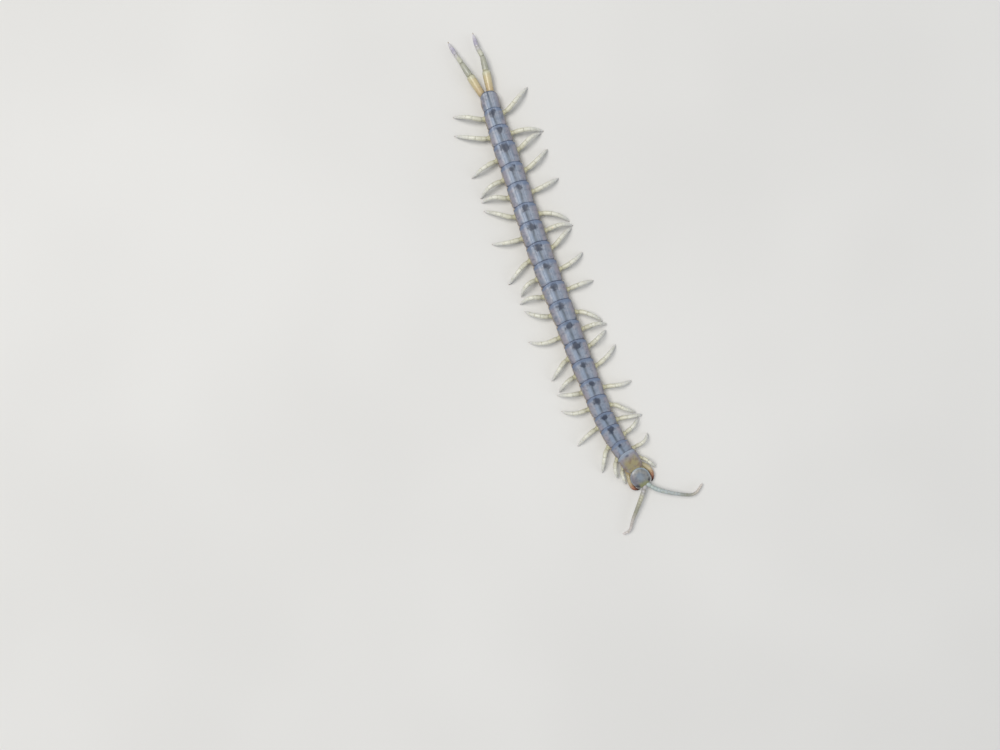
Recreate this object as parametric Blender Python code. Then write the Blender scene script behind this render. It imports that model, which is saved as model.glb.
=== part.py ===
# Giant centipede, a small member of its family, standing on a flat floor at life size.
# Frame: head toward -Y, tail toward +Y, the animal's left toward +X, +Z up, floor at z = 0.
# The origin is under the middle of the bounding box. Sizes below are in millimetres and degrees.
import math

import bmesh
import bpy
from mathutils import Vector

MM = 0.001
GAP = 0.28

# Body: twenty-one trunk segments, numbered from the head
SEGMENT_LENGTHS = (2.65, 1.75, 2.7, 1.95, 2.75, 2.5, 3.05, 2.9, 2.95, 3.2, 2.75,
                   3.3, 2.8, 3.2, 2.65, 3.25, 2.85, 3.2, 2.55, 2.6, 2.45)
SEGMENTS_PER_NODE = 3
NECK = (-0.43, -29.22)
BODY_HEADINGS = ((0, 9), (1, 15), (2, 11), (3, 5), (5, 0), (8, -0.5), (12, -0.5),
                 (15, -4), (18, -1.5), (21, -8))
HALF_WIDTHS = ((0, 1.3), (0.5, 1.5), (1, 1.42), (1.6, 1.4), (3, 1.5), (5, 1.56), (7, 1.68),
               (10, 1.76), (12.5, 1.8), (15, 1.7), (18, 1.66), (19.2, 1.48), (20, 1.34), (21, 1.26))
TOP_HEIGHTS = ((0, 1.9), (1, 2.05), (4, 2.2), (10, 2.32), (17, 2.24), (21, 1.92))
BELLY_HEIGHTS = ((0, 0.52), (3, 0.45), (17, 0.45), (21, 0.62))
SIDE_HEIGHT = 1.22

# Ring of a trunk section: angles from the left side, over the back, and round the belly
PLATE_ANGLES = (20, 38, 62, 90, 118, 142, 160)
BELLY_ANGLES = (180, 208, 232, 252, 270, 288, 308, 332)
SIDE_FULLNESS = 0.75
BACK_FULLNESS = 0.85
PLATE_OVERHANG = 0.4

# One segment from front to rear: place along it, width factor, how far the back plate stands up
SEGMENT_STATIONS = ((0.0, 0.93, 0.0), (0.17, 0.975, 0.05), (0.55, 1.0, 0.07), (0.9, 0.975, 0.11),
                    (0.965, 0.96, 0.11))

# Head, with its own heading
HEAD_CENTRE = (-0.19, -30.72)
HEAD_HEADING = 12
HEAD_HALF_LENGTH = 1.6
HEAD_HALF_WIDTH = 1.46
HEAD_REAR_CUT = -1.2
HEAD_STATION_ANGLES = (-32, -14, 4, 22, 40, 56, 70, 82)
HEAD_CORNERS = 14
HEAD_SIDE_ROUNDING = 0.85
HEAD_CROWN_ROUNDING = 0.7
HEAD_TOP = 2.0
HEAD_EDGE = 1.5
HEAD_UNDERSIDE = 1.17
OCELLUS_RADIUS = 0.13
OCELLUS_RISE = 0.06
OCELLI = ((0.98, 1.06), (1.12, 0.86), (0.86, 1.2), (1.0, 1.2))
SOCKET_FORWARD = 1.66
SOCKET_OFFSETS = {"left": 0.5, "right": 0.34}
SOCKET_HEIGHT = 1.5
SOCKET_DEPTH = 0.75
SOCKET_MARGIN = 0.03

# Collar that carries the poison claws, with the flat plate under the head
COLLAR_REAR = -1.86
COLLAR_FRONT = -1.45
COLLAR_TO_TRUNK = 0.62
COLLAR_HALF_WIDTH = 1.3
COLLAR_WIDTHS = (1.02, 1.03, 0.96)
COLLAR_TOP = 1.88
COLLAR_UNDERSIDE = 0.5
CLAW_PLATE_HALF_WIDTH = 0.66
CLAW_PLATE_SHAPE = ((-1.65, 1.0), (-0.8, 1.0), (-0.3, 0.8), (-0.15, 0.6))
CLAW_PLATE_TOP = 0.9
CLAW_PLATE_UNDERSIDE = 0.52
CLAW_PLATE_BEVEL = 0.75
FORCIPULE_LENGTH = 3.1
FORCIPULE_STEPS = 40
FORCIPULE_HEIGHT = 0.82
FORCIPULE_TIP_HEIGHT = 0.66
FORCIPULE_BASES = {"left": (-1.42, 1.24), "right": (-1.34, 1.12)}
CLAW_STUB_DEPTH = 0.3
FORCIPULE_BENDS = {
    "left": ((0, 38), (0.35, 8), (0.6, -12), (0.8, -32), (1, -72)),
    "right": ((0, 20), (0.45, 13), (0.62, -2), (0.8, -26), (1, -66)),
}
FORCIPULE_RADII = ((0, 0.35), (0.15, 0.38), (0.4, 0.34), (0.52, 0.3), (0.58, 0.31), (0.75, 0.22),
                   (0.9, 0.12), (1, 0.03))

# Antennae of seventeen articles
ANTENNA_ARTICLES = 17
ANTENNA_LENGTHS = {"left": 8.45, "right": 7.3}
ANTENNA_BENDS = {
    "left": ((0, 36), (0.14, 50), (0.3, 57), (0.6, 62), (0.7, 70), (0.79, 100), (0.87, 124)),
    "right": ((0, 38), (0.15, 42), (0.6, 41), (0.72, 32), (0.79, 32), (0.86, 62), (0.94, 89)),
}
ANTENNA_RADII = ((0, 0.33), (0.2, 0.32), (0.5, 0.26), (0.8, 0.2), (0.97, 0.16), (1, 0.1))
ANTENNA_HEIGHTS = ((0, 1.5), (0.3, 1.55), (0.7, 1.15), (1, 0.7))
ANTENNA_WAIST = 0.86

# Number of sides of the round sections
PEG_SIDES = 8
ANTENNA_SIDES = 6
CLAW_SIDES = 8
HIND_LEG_SIDES = 8

# Walking legs, twenty a side
LEG_COUNT = 20
COXA_RADIUS = 0.32
COXA_HEIGHT = 1.12
COXA_DEPTH = 0.75
COXA_REACH = 0.14
COXA_TURNS = ((1, 0.62), (3, 0.55), (5, 0.45))
LEG_SLIDES = {
    "left": ((1, -0.2), (2, 0.95), (3, 0.95), (4, 0.45), (5, 0.05), (6, 0.25), (18, 0.2), (20, -0.1)),
    "right": ((1, -0.2), (2, 0.5), (3, 0.75), (4, 0.45), (5, 0.05), (6, 0.25), (18, 0.2), (20, -0.1)),
}
SWING_SLIDE = 0.7
LEG_REACHES = ((1, 3.0), (3, 3.7), (5, 4.15), (12, 4.35), (18, 4.6), (20, 5.2))
LEG_THICKNESSES = ((1, 0.76), (3, 0.92), (6, 1.0), (20, 1.04))
LEG_RADII = ((0, 0.3), (0.12, 0.31), (0.28, 0.265), (0.38, 0.28), (0.5, 0.25), (0.58, 0.255),
             (0.7, 0.22), (0.78, 0.21), (0.87, 0.165), (0.95, 0.11), (1, 0.05))
LEG_SIDES = 6
LEG_STEPS = 60
ROOT_TURN_PLACE = 0.2
KNEE_PLACE = 0.42
KNEE_RISE = 0.42
KNEE_FOLD = 0.55
SHIN_DROP = 0.9

# Pose of each walking leg: forward swing at its root, at its tip, and its reach beside the usual one
POSE_LEFT = ((68, 72, 1.0), (6, -34, 0.94), (-14, -28, 0.88), (16, 20, 1.0), (50, 34, 0.98),
             (18, -4, 1.04), (-24, -34, 1.04), (-26, -22, 0.84), (-2, 30, 0.9), (38, 52, 1.0),
             (-2, 6, 0.96), (-10, -32, 1.0), (-34, -22, 0.98), (-4, 26, 0.96), (24, 48, 1.04),
             (-8, -20, 1.0), (-25, -34, 1.04), (-30, -6, 0.96), (8, 22, 0.98), (-34, -38, 1.04))
POSE_RIGHT = ((68, 92, 0.86), (48, 96, 0.9), (44, 62, 1.08), (10, 36, 1.0), (-4, -44, 0.96),
              (-14, -20, 0.84), (12, 52, 0.78), (34, 42, 0.94), (2, -40, 1.08), (-24, -52, 0.92),
              (-22, 24, 0.84), (10, 62, 0.8), (28, 34, 1.04), (-2, -26, 1.0), (-32, -36, 1.04),
              (-24, 10, 0.9), (10, 36, 0.92), (14, 16, 0.94), (-20, -38, 1.06), (-22, -30, 0.9))

# Last pair of legs, trailed behind
ULTIMATE_OFFSETS = {"left": 0.4, "right": 0.92}
ULTIMATE_LENGTHS = (3.0, 2.15, 1.6, 1.3, 0.95)
ULTIMATE_RADII = (0.46, 0.43, 0.31, 0.26, 0.25, 0.05)
ULTIMATE_SHAPE = ((0, 1), (0.35, 1.1), (0.8, 1.05))
ULTIMATE_HEIGHTS = (1.2, 1.45, 1.48, 1.25, 1.0, 0.86)
ULTIMATE_HEADINGS = {"left": (9, 8, -8, 4, 7), "right": (-12, -12, -12, -10, -7)}

# Colour and roughness of each material
MATERIALS = {
    "back_plate": ((0.30, 0.33, 0.42), 0.35),
    "head_plate": ((0.20, 0.24, 0.27), 0.3),
    "leg": ((0.56, 0.55, 0.40), 0.4),
    "hind_leg": ((0.55, 0.42, 0.20), 0.4),
    "poison_claw": ((0.45, 0.28, 0.13), 0.3),
    "antenna": ((0.36, 0.40, 0.38), 0.45),
}


def between(pairs, x):
    """Read a value at x from a short list of (place, value) pairs."""
    if x <= pairs[0][0]:
        return pairs[0][1]
    for (x0, y0), (x1, y1) in zip(pairs, pairs[1:]):
        if x <= x1:
            return y0 + (y1 - y0) * (x - x0) / (x1 - x0)
    return pairs[-1][1]


def backward(heading):
    """Unit vector that points from head to tail, for a heading turned from -Y toward +X."""
    angle = math.radians(heading)
    return Vector((-math.sin(angle), math.cos(angle), 0))


def side_vector(heading, side):
    """Unit vector that points out of the left (side 1) or right (side -1) of the body."""
    angle = math.radians(heading)
    return Vector((math.cos(angle), math.sin(angle), 0)) * side


def body_point(place):
    """Centre line of the body at a place counted in segments from the head, and its heading."""
    point = Vector((NECK[0], NECK[1], 0))
    steps = 12
    for number, length in enumerate(SEGMENT_LENGTHS):
        share = min(max(place - number, 0), 1)
        for step in range(steps):
            middle = number + (step + 0.5) * share / steps
            point += backward(between(BODY_HEADINGS, middle)) * (length * share / steps)
    return point, between(BODY_HEADINGS, place)


def new_material(name):
    colour, roughness = MATERIALS[name]
    material = bpy.data.materials.new(name)
    material.use_nodes = True
    shader = material.node_tree.nodes["Principled BSDF"]
    shader.inputs["Base Color"].default_value = (*colour, 1)
    shader.inputs["Roughness"].default_value = roughness
    shader.inputs["Metallic"].default_value = 0
    return material


def add_object(name, mesh_data, material):
    mesh = bpy.data.meshes.new(name)
    mesh_data.to_mesh(mesh)
    mesh_data.free()
    mesh.materials.append(material)
    item = bpy.data.objects.new(name, mesh)
    bpy.context.scene.collection.objects.link(item)
    return item


def loft(name, rings, material):
    """Closed body through rings of equal length, given in millimetres."""
    work = bmesh.new()
    rows = [[work.verts.new(point * MM) for point in ring] for ring in rings]
    for row, following in zip(rows, rows[1:]):
        for index in range(len(row)):
            after = (index + 1) % len(row)
            work.faces.new((row[index], row[after], following[after], following[index]))
    work.faces.new(rows[0][::-1])
    work.faces.new(rows[-1])
    bmesh.ops.recalc_face_normals(work, faces=work.faces)
    return add_object(name, work, material)


def tube_rings(path, radii, sides, first=None):
    """Round rings along a path that never stands upright, kept above the floor."""
    rings = []
    for index, (point, radius) in enumerate(zip(path, radii)):
        ahead = path[min(index + 1, len(path) - 1)] - path[max(index - 1, 0)]
        if index == 0 and first is not None:
            ahead = first
        ahead = ahead.normalized()
        across = Vector((0, 0, 1)).cross(ahead).normalized()
        up = ahead.cross(across)
        ring = []
        for corner in range(sides):
            angle = 2 * math.pi * (corner + 0.5) / sides
            spot = point + across * (radius * math.cos(angle)) + up * (radius * math.sin(angle))
            spot.z = max(spot.z, 0)
            ring.append(spot)
        rings.append(ring)
    return rings


def fuse(name, pieces, material):
    """Join closed pieces into one body and keep its largest closed surface."""
    group = bpy.data.collections.new(name + "_pieces")
    bpy.context.scene.collection.children.link(group)
    for piece in pieces[1:]:
        bpy.context.scene.collection.objects.unlink(piece)
        group.objects.link(piece)
    base = pieces[0]
    union = base.modifiers.new("union", "BOOLEAN")
    union.operation = "UNION"
    union.operand_type = "COLLECTION"
    union.collection = group
    union.solver = "EXACT"
    bpy.context.view_layer.update()
    graph = bpy.context.evaluated_depsgraph_get()
    work = bmesh.new()
    work.from_mesh(bpy.data.meshes.new_from_object(base.evaluated_get(graph)))
    for piece in pieces:
        bpy.data.objects.remove(piece)
    bpy.data.collections.remove(group)
    keep_largest(work)
    bmesh.ops.recalc_face_normals(work, faces=work.faces)
    return add_object(name, work, material)


def keep_largest(work):
    """Drop every closed surface but the largest one."""
    left = set(work.verts)
    islands = []
    while left:
        start = left.pop()
        island = {start}
        front = [start]
        while front:
            for edge in front.pop().link_edges:
                for vert in edge.verts:
                    if vert not in island:
                        island.add(vert)
                        front.append(vert)
        left -= island
        islands.append(island)
    largest = max(islands, key=lambda island: bulk(island))
    spare = [vert for island in islands if island is not largest for vert in island]
    bmesh.ops.delete(work, geom=spare, context="VERTS")


def bulk(island):
    """Size of the box round a set of points."""
    spans = [max(vert.co[axis] for vert in island) - min(vert.co[axis] for vert in island)
             for axis in range(3)]
    return spans[0] * spans[1] * spans[2]


def trunk_ring(place, width_factor, lift):
    """Section of the trunk: a back plate that stands up by lift, soft sides and a flat belly."""
    centre, heading = body_point(place)
    half = between(HALF_WIDTHS, place) * width_factor
    rise = between(TOP_HEIGHTS, place) - SIDE_HEIGHT
    fall = SIDE_HEIGHT - between(BELLY_HEIGHTS, place)
    left = side_vector(heading, 1)
    ring = []
    for degrees in (0, *PLATE_ANGLES, *BELLY_ANGLES):
        angle = math.radians(degrees)
        cosine, sine = math.cos(angle), math.sin(angle)
        sideways = half * math.copysign(abs(cosine) ** SIDE_FULLNESS, cosine)
        if degrees in PLATE_ANGLES:
            height = (rise + lift) * sine ** BACK_FULLNESS
            sideways *= 1 + PLATE_OVERHANG * lift
        else:
            height = -fall * abs(sine) ** BACK_FULLNESS
        ring.append(centre + left * sideways + Vector((0, 0, SIDE_HEIGHT + height)))
    return ring


def peg(name, start, direction, length, radius, material):
    """Short round stub from a point inside a body out to a flat end."""
    path = [start, start + direction * length]
    return loft(name, tube_rings(path, (radius, radius), PEG_SIDES, direction), material)


def coxa(side, number):
    """Where a walking leg leaves the trunk: the middle of the stub's end face, and its direction."""
    swing = (POSE_LEFT if side == 1 else POSE_RIGHT)[number - 1][0]
    slides = LEG_SLIDES["left" if side == 1 else "right"]
    slide = between(slides, number) + SWING_SLIDE * math.sin(math.radians(swing))
    place = number - 0.5 - slide / SEGMENT_LENGTHS[number - 1]
    centre, heading = body_point(place)
    out = side_vector(heading, side)
    turn = math.radians(between(COXA_TURNS, number) * swing)
    direction = (out * math.cos(turn) - backward(heading) * math.sin(turn)).normalized()
    edge = centre + out * between(HALF_WIDTHS, place) + Vector((0, 0, COXA_HEIGHT))
    return edge + direction * COXA_REACH, direction, heading


def trunk(node, material):
    """Three segments of the trunk with the stubs of their six legs."""
    first = (node - 1) * SEGMENTS_PER_NODE
    rings = []
    for segment in range(first, first + SEGMENTS_PER_NODE):
        length = SEGMENT_LENGTHS[segment]
        front = 0
        if segment == first:
            front = (COLLAR_TO_TRUNK if node == 1 else GAP / 2) / length
        for place, width, lift in SEGMENT_STATIONS:
            rings.append(trunk_ring(segment + front + (1 - front) * place, width, lift))
    rings[-1] = trunk_ring(segment + 1 - GAP / 2 / length, width, lift)
    name = "trunk_%d" % node
    pieces = [loft(name + "_core", rings, material)]
    for number in range(first + 1, min(first + SEGMENTS_PER_NODE, LEG_COUNT) + 1):
        for side in (1, -1):
            end, direction, _ = coxa(side, number)
            pieces.append(peg("coxa", end - direction * COXA_DEPTH, direction, COXA_DEPTH,
                              COXA_RADIUS * between(LEG_THICKNESSES, number), material))
    return fuse(name, pieces, material)


def leg(side, number, material):
    """Walking leg from its flat root over the knee to a small flat on the floor."""
    root_swing, tip_swing, share = (POSE_LEFT if side == 1 else POSE_RIGHT)[number - 1]
    end, direction, heading = coxa(side, number)
    out = side_vector(heading, side)
    ahead = -backward(heading)
    usual = between(LEG_REACHES, number)
    reach = usual * share - COXA_REACH - GAP
    knee = COXA_HEIGHT + KNEE_RISE + KNEE_FOLD * max(usual - usual * share, 0)
    size = between(LEG_THICKNESSES, number)
    swings = ((0, between(COXA_TURNS, number) * root_swing), (ROOT_TURN_PLACE, root_swing),
              (1, tip_swing))
    spot = end + direction * GAP
    path = []
    for step in range(LEG_STEPS + 1):
        place = step / LEG_STEPS
        if place < KNEE_PLACE:
            wave = math.sin(math.pi / 2 * place / KNEE_PLACE)
            height = COXA_HEIGHT + (knee - COXA_HEIGHT) * wave
        else:
            fall = math.cos(math.pi / 2 * (place - KNEE_PLACE) / (1 - KNEE_PLACE))
            height = knee * fall ** SHIN_DROP
        path.append(Vector((spot.x, spot.y, height)))
        angle = math.radians(between(swings, place + 0.5 / LEG_STEPS))
        spot = spot + (out * math.cos(angle) + ahead * math.sin(angle)) * (reach / LEG_STEPS)
    stations = [round(place * LEG_STEPS) for place, _ in LEG_RADII]
    rings = tube_rings([path[index] for index in stations],
                       [radius * size for _, radius in LEG_RADII], LEG_SIDES, direction)
    name = "leg_%s_%02d" % ("left" if side == 1 else "right", number)
    return loft(name, rings, material)


def head_frame():
    centre = Vector((HEAD_CENTRE[0], HEAD_CENTRE[1], 0))
    return centre, -backward(HEAD_HEADING), side_vector(HEAD_HEADING, 1)


def head_point(forward, sideways, height):
    centre, ahead, left = head_frame()
    return centre + ahead * forward + left * sideways + Vector((0, 0, height))


def head(material):
    """Round, low head with the sockets of the antennae and four small eyes a side."""
    rings = []
    stations = [HEAD_REAR_CUT / HEAD_HALF_LENGTH]
    stations += [math.sin(math.radians(angle)) for angle in HEAD_STATION_ANGLES]
    for station in stations:
        share = math.sqrt(1 - station * station)
        width = HEAD_HALF_WIDTH * share ** HEAD_SIDE_ROUNDING
        crown = share ** HEAD_CROWN_ROUNDING
        ring = []
        for corner in range(HEAD_CORNERS):
            angle = 2 * math.pi * corner / HEAD_CORNERS
            rise = HEAD_TOP - HEAD_EDGE if math.sin(angle) > 0 else HEAD_EDGE - HEAD_UNDERSIDE
            height = HEAD_EDGE + rise * crown * math.sin(angle)
            ring.append(head_point(station * HEAD_HALF_LENGTH, width * math.cos(angle), height))
        rings.append(ring)
    pieces = [loft("head_core", rings, material)]
    for side in (1, -1):
        start, direction = antenna_root(side)
        pieces.append(peg("socket", start - direction * SOCKET_DEPTH, direction, SOCKET_DEPTH,
                          ANTENNA_RADII[0][1] + SOCKET_MARGIN, material))
        for forward, sideways in OCELLI:
            work = bmesh.new()
            bmesh.ops.create_icosphere(work, subdivisions=1, radius=OCELLUS_RADIUS * MM)
            bmesh.ops.translate(work, verts=work.verts,
                                vec=head_point(forward, sideways * side, HEAD_EDGE + OCELLUS_RISE) * MM)
            pieces.append(add_object("ocellus", work, material))
    return fuse("head", pieces, material)


def antenna_root(side):
    """Middle of an antenna socket's end face, and its direction."""
    word = "left" if side == 1 else "right"
    turn = math.radians(side * ANTENNA_BENDS[word][0][1])
    direction = Vector((math.sin(turn), -math.cos(turn), 0))
    return head_point(SOCKET_FORWARD, SOCKET_OFFSETS[word] * side, SOCKET_HEIGHT), direction


def antenna(side, material):
    """Beaded feeler: one ring at each joint and one at the middle of each article."""
    word = "left" if side == 1 else "right"
    start, direction = antenna_root(side)
    spot = start + direction * GAP
    path, radii = [], []
    rings = 2 * ANTENNA_ARTICLES
    for ring in range(rings + 1):
        place = ring / rings
        path.append(Vector((spot.x, spot.y, between(ANTENNA_HEIGHTS, place))))
        waist = ANTENNA_WAIST if ring % 2 == 0 and 0 < ring < rings else 1
        radii.append(between(ANTENNA_RADII, place) * waist)
        turn = math.radians(side * between(ANTENNA_BENDS[word], place + 0.5 / rings))
        spot = spot + Vector((math.sin(turn), -math.cos(turn), 0)) * (ANTENNA_LENGTHS[word] / rings)
    return loft("antenna_" + word, tube_rings(path, radii, ANTENNA_SIDES, direction), material)


def forcipule_root(side):
    """Middle of the flat face that carries a poison claw, and its direction."""
    word = "left" if side == 1 else "right"
    forward, sideways = FORCIPULE_BASES[word]
    _, ahead, left = head_frame()
    turn = math.radians(FORCIPULE_BENDS[word][0][1])
    direction = ahead * math.cos(turn) + left * (side * math.sin(turn))
    return head_point(forward, sideways * side, FORCIPULE_HEIGHT), direction


def forcipule(side, material):
    """Poison claw: a thick base that curves round the head to a sharp tip."""
    word = "left" if side == 1 else "right"
    start, direction = forcipule_root(side)
    spot = start + direction * GAP
    _, ahead, left = head_frame()
    path = []
    for step in range(FORCIPULE_STEPS + 1):
        place = step / FORCIPULE_STEPS
        height = FORCIPULE_HEIGHT + (FORCIPULE_TIP_HEIGHT - FORCIPULE_HEIGHT) * place ** 2
        path.append(Vector((spot.x, spot.y, height)))
        turn = math.radians(between(FORCIPULE_BENDS[word], place + 0.5 / FORCIPULE_STEPS))
        step_vector = ahead * math.cos(turn) + left * (side * math.sin(turn))
        spot = spot + step_vector * (FORCIPULE_LENGTH / FORCIPULE_STEPS)
    stations = [round(place * FORCIPULE_STEPS) for place, _ in FORCIPULE_RADII]
    rings = tube_rings([path[index] for index in stations],
                       [radius for _, radius in FORCIPULE_RADII], CLAW_SIDES, direction)
    return loft("forcipule_" + word, rings, material)


def collar(material):
    """Short segment behind the head, with the flat plate under the head and two claw stubs."""
    rings = []
    for number, width in enumerate(COLLAR_WIDTHS):
        forward = COLLAR_REAR + (COLLAR_FRONT - COLLAR_REAR) * number / (len(COLLAR_WIDTHS) - 1)
        ring = []
        for degrees in (0, *PLATE_ANGLES, *BELLY_ANGLES):
            angle = math.radians(degrees)
            cosine, sine = math.cos(angle), math.sin(angle)
            sideways = COLLAR_HALF_WIDTH * width * math.copysign(abs(cosine) ** SIDE_FULLNESS, cosine)
            rise = COLLAR_TOP - SIDE_HEIGHT if sine > 0 else SIDE_HEIGHT - COLLAR_UNDERSIDE
            height = SIDE_HEIGHT + rise * math.copysign(abs(sine) ** BACK_FULLNESS, sine)
            ring.append(head_point(forward, sideways, height))
        rings.append(ring)
    pieces = [loft("collar_core", rings, material)]
    rings = []
    low, high = CLAW_PLATE_UNDERSIDE, CLAW_PLATE_TOP
    middle = (low + high) / 2
    for forward, width in CLAW_PLATE_SHAPE:
        half = CLAW_PLATE_HALF_WIDTH * width
        inner = half * CLAW_PLATE_BEVEL
        corners = ((inner, high), (-inner, high), (-half, middle), (-inner, low), (inner, low),
                   (half, middle))
        rings.append([head_point(forward, sideways, height) for sideways, height in corners])
    pieces.append(loft("claw_plate", rings, material))
    for side in (1, -1):
        start, direction = forcipule_root(side)
        pieces.append(peg("claw_stub", start - direction * CLAW_STUB_DEPTH, direction,
                          CLAW_STUB_DEPTH, FORCIPULE_RADII[0][1], material))
    return fuse("forcipular_segment", pieces, material)


def ultimate_leg(side, material):
    """Long last leg, trailed behind the body, of five articles."""
    word = "left" if side == 1 else "right"
    centre, heading = body_point(len(SEGMENT_LENGTHS))
    spot = centre + side_vector(heading, side) * ULTIMATE_OFFSETS[word] + backward(heading) * (GAP / 2)
    path, radii = [], []
    for article, length in enumerate(ULTIMATE_LENGTHS):
        turn = math.radians(ULTIMATE_HEADINGS[word][article])
        direction = Vector((math.sin(turn), math.cos(turn), 0))
        thin, thick = ULTIMATE_RADII[article], ULTIMATE_RADII[article + 1]
        low, high = ULTIMATE_HEIGHTS[article], ULTIMATE_HEIGHTS[article + 1]
        for share, swelling in ULTIMATE_SHAPE:
            height = low + (high - low) * share
            path.append(Vector((spot.x, spot.y, height)) + direction * (length * share))
            radii.append((thin + (thick - thin) * share) * swelling)
        spot = spot + direction * length
    path.append(Vector((spot.x, spot.y, ULTIMATE_HEIGHTS[-1])))
    radii.append(ULTIMATE_RADII[-1])
    rings = tube_rings(path, radii, HIND_LEG_SIDES, backward(heading))
    return loft("ultimate_leg_" + word, rings, material)


def build():
    for item in list(bpy.data.objects):
        bpy.data.objects.remove(item)
    materials = {name: new_material(name) for name in MATERIALS}
    head(materials["head_plate"])
    collar(materials["back_plate"])
    for node in range(1, len(SEGMENT_LENGTHS) // SEGMENTS_PER_NODE + 1):
        trunk(node, materials["back_plate"])
    for side in (1, -1):
        antenna(side, materials["antenna"])
        forcipule(side, materials["poison_claw"])
        ultimate_leg(side, materials["hind_leg"])
        for number in range(1, LEG_COUNT + 1):
            leg(side, number, materials["leg"])


build()
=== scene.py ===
# Looks of a small giant centipede at life size, as jointed plates, legs and feelers.
# Frame: head toward -Y, tail toward +Y, the animal's left toward +X, +Z up, floor at z = 0.
# Sizes are in millimetres and degrees. Groups headed "as in the solids" repeat the named sizes of the solids.
import math

import bmesh
import bpy
import numpy as np
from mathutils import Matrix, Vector


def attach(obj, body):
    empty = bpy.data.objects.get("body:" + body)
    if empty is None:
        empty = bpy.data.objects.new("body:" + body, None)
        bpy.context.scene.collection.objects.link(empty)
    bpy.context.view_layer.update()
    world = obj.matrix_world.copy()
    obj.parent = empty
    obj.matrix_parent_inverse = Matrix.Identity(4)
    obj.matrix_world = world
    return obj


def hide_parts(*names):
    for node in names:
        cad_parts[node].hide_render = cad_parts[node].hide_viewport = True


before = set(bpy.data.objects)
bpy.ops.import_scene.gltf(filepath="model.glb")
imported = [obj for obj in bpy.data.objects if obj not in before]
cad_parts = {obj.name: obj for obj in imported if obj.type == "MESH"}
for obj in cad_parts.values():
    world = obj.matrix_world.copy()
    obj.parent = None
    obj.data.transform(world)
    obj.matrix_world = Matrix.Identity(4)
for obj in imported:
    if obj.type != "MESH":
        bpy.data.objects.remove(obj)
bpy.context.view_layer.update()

MM = 0.001
GAP = 0.28
LEFT, RIGHT = 1, -1
SIDES = ((LEFT, "left"), (RIGHT, "right"))
FLOOR_GAP = 0.002
DRAW = np.random.default_rng(7)

# Body, as in the solids
SEGMENT_LENGTHS = np.array((2.65, 1.75, 2.7, 1.95, 2.75, 2.5, 3.05, 2.9, 2.95, 3.2, 2.75,
                            3.3, 2.8, 3.2, 2.65, 3.25, 2.85, 3.2, 2.55, 2.6, 2.45))
SEGMENTS = len(SEGMENT_LENGTHS)
NECK = (-0.43, -29.22)
BODY_HEADINGS = ((0, 9), (1, 15), (2, 11), (3, 5), (5, 0), (8, -0.5), (12, -0.5),
                 (15, -4), (18, -1.5), (21, -8))
HALF_WIDTHS = ((0, 1.3), (0.5, 1.5), (1, 1.42), (1.6, 1.4), (3, 1.5), (5, 1.56), (7, 1.68),
               (10, 1.76), (12.5, 1.8), (15, 1.7), (18, 1.66), (19.2, 1.48), (20, 1.34), (21, 1.26))
TOP_HEIGHTS = ((0, 1.9), (1, 2.05), (4, 2.2), (10, 2.32), (17, 2.24), (21, 1.92))
BELLY_HEIGHTS = ((0, 0.52), (3, 0.45), (17, 0.45), (21, 0.62))
SIDE_HEIGHT = 1.22
SIDE_POWER = 8 / 3
BACK_POWER = 0.425

# Head, feelers and poison claws, as in the solids but for smaller eyes and a right fang bent sooner
HEAD_CENTRE = (-0.19, -30.72)
HEAD_HEADING = 12
HEAD_HALF_WIDTH = 1.46
HEAD_TOP = 2.0
OCELLI = ((1.06, 0.8), (0.8, 1.04), (0.88, 0.86), (0.97, 0.98))
OCELLUS_RADIUS = 0.07
OCELLUS_SINK = 0.038
SOCKET_FORWARD = 1.66
SOCKET_OFFSETS = {LEFT: 0.5, RIGHT: 0.34}
SOCKET_HEIGHT = 1.5
FORCIPULE_LENGTH = 3.1
FORCIPULE_HEIGHT = 0.82
FORCIPULE_TIP_HEIGHT = 0.66
FORCIPULE_STEPS = 60
FORCIPULE_BASES = {LEFT: (-1.42, 1.24), RIGHT: (-1.34, 1.12)}
FORCIPULE_BENDS = {
    LEFT: ((0, 38), (0.35, 8), (0.6, -12), (0.8, -32), (1, -72)),
    RIGHT: ((0, 20), (0.45, 13), (0.6, -8), (0.78, -42), (1, -84)),
}
FORCIPULE_RADII = ((0, 0.35), (0.15, 0.38), (0.4, 0.34), (0.52, 0.3), (0.58, 0.31), (0.75, 0.22),
                   (0.9, 0.12), (1, 0.03))
ANTENNA_ARTICLES = 17
ANTENNA_LENGTHS = {LEFT: 8.45, RIGHT: 7.3}
ANTENNA_BENDS = {
    LEFT: ((0, 36), (0.14, 50), (0.3, 57), (0.6, 62), (0.7, 70), (0.79, 100), (0.87, 124)),
    RIGHT: ((0, 38), (0.15, 42), (0.6, 41), (0.72, 32), (0.79, 32), (0.86, 62), (0.94, 89)),
}
ANTENNA_RADII = ((0, 0.33), (0.2, 0.32), (0.5, 0.26), (0.8, 0.2), (0.97, 0.16), (1, 0.1))
ANTENNA_HEIGHTS = ((0, 1.5), (0.3, 1.55), (0.7, 1.15), (1, 0.7))

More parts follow.
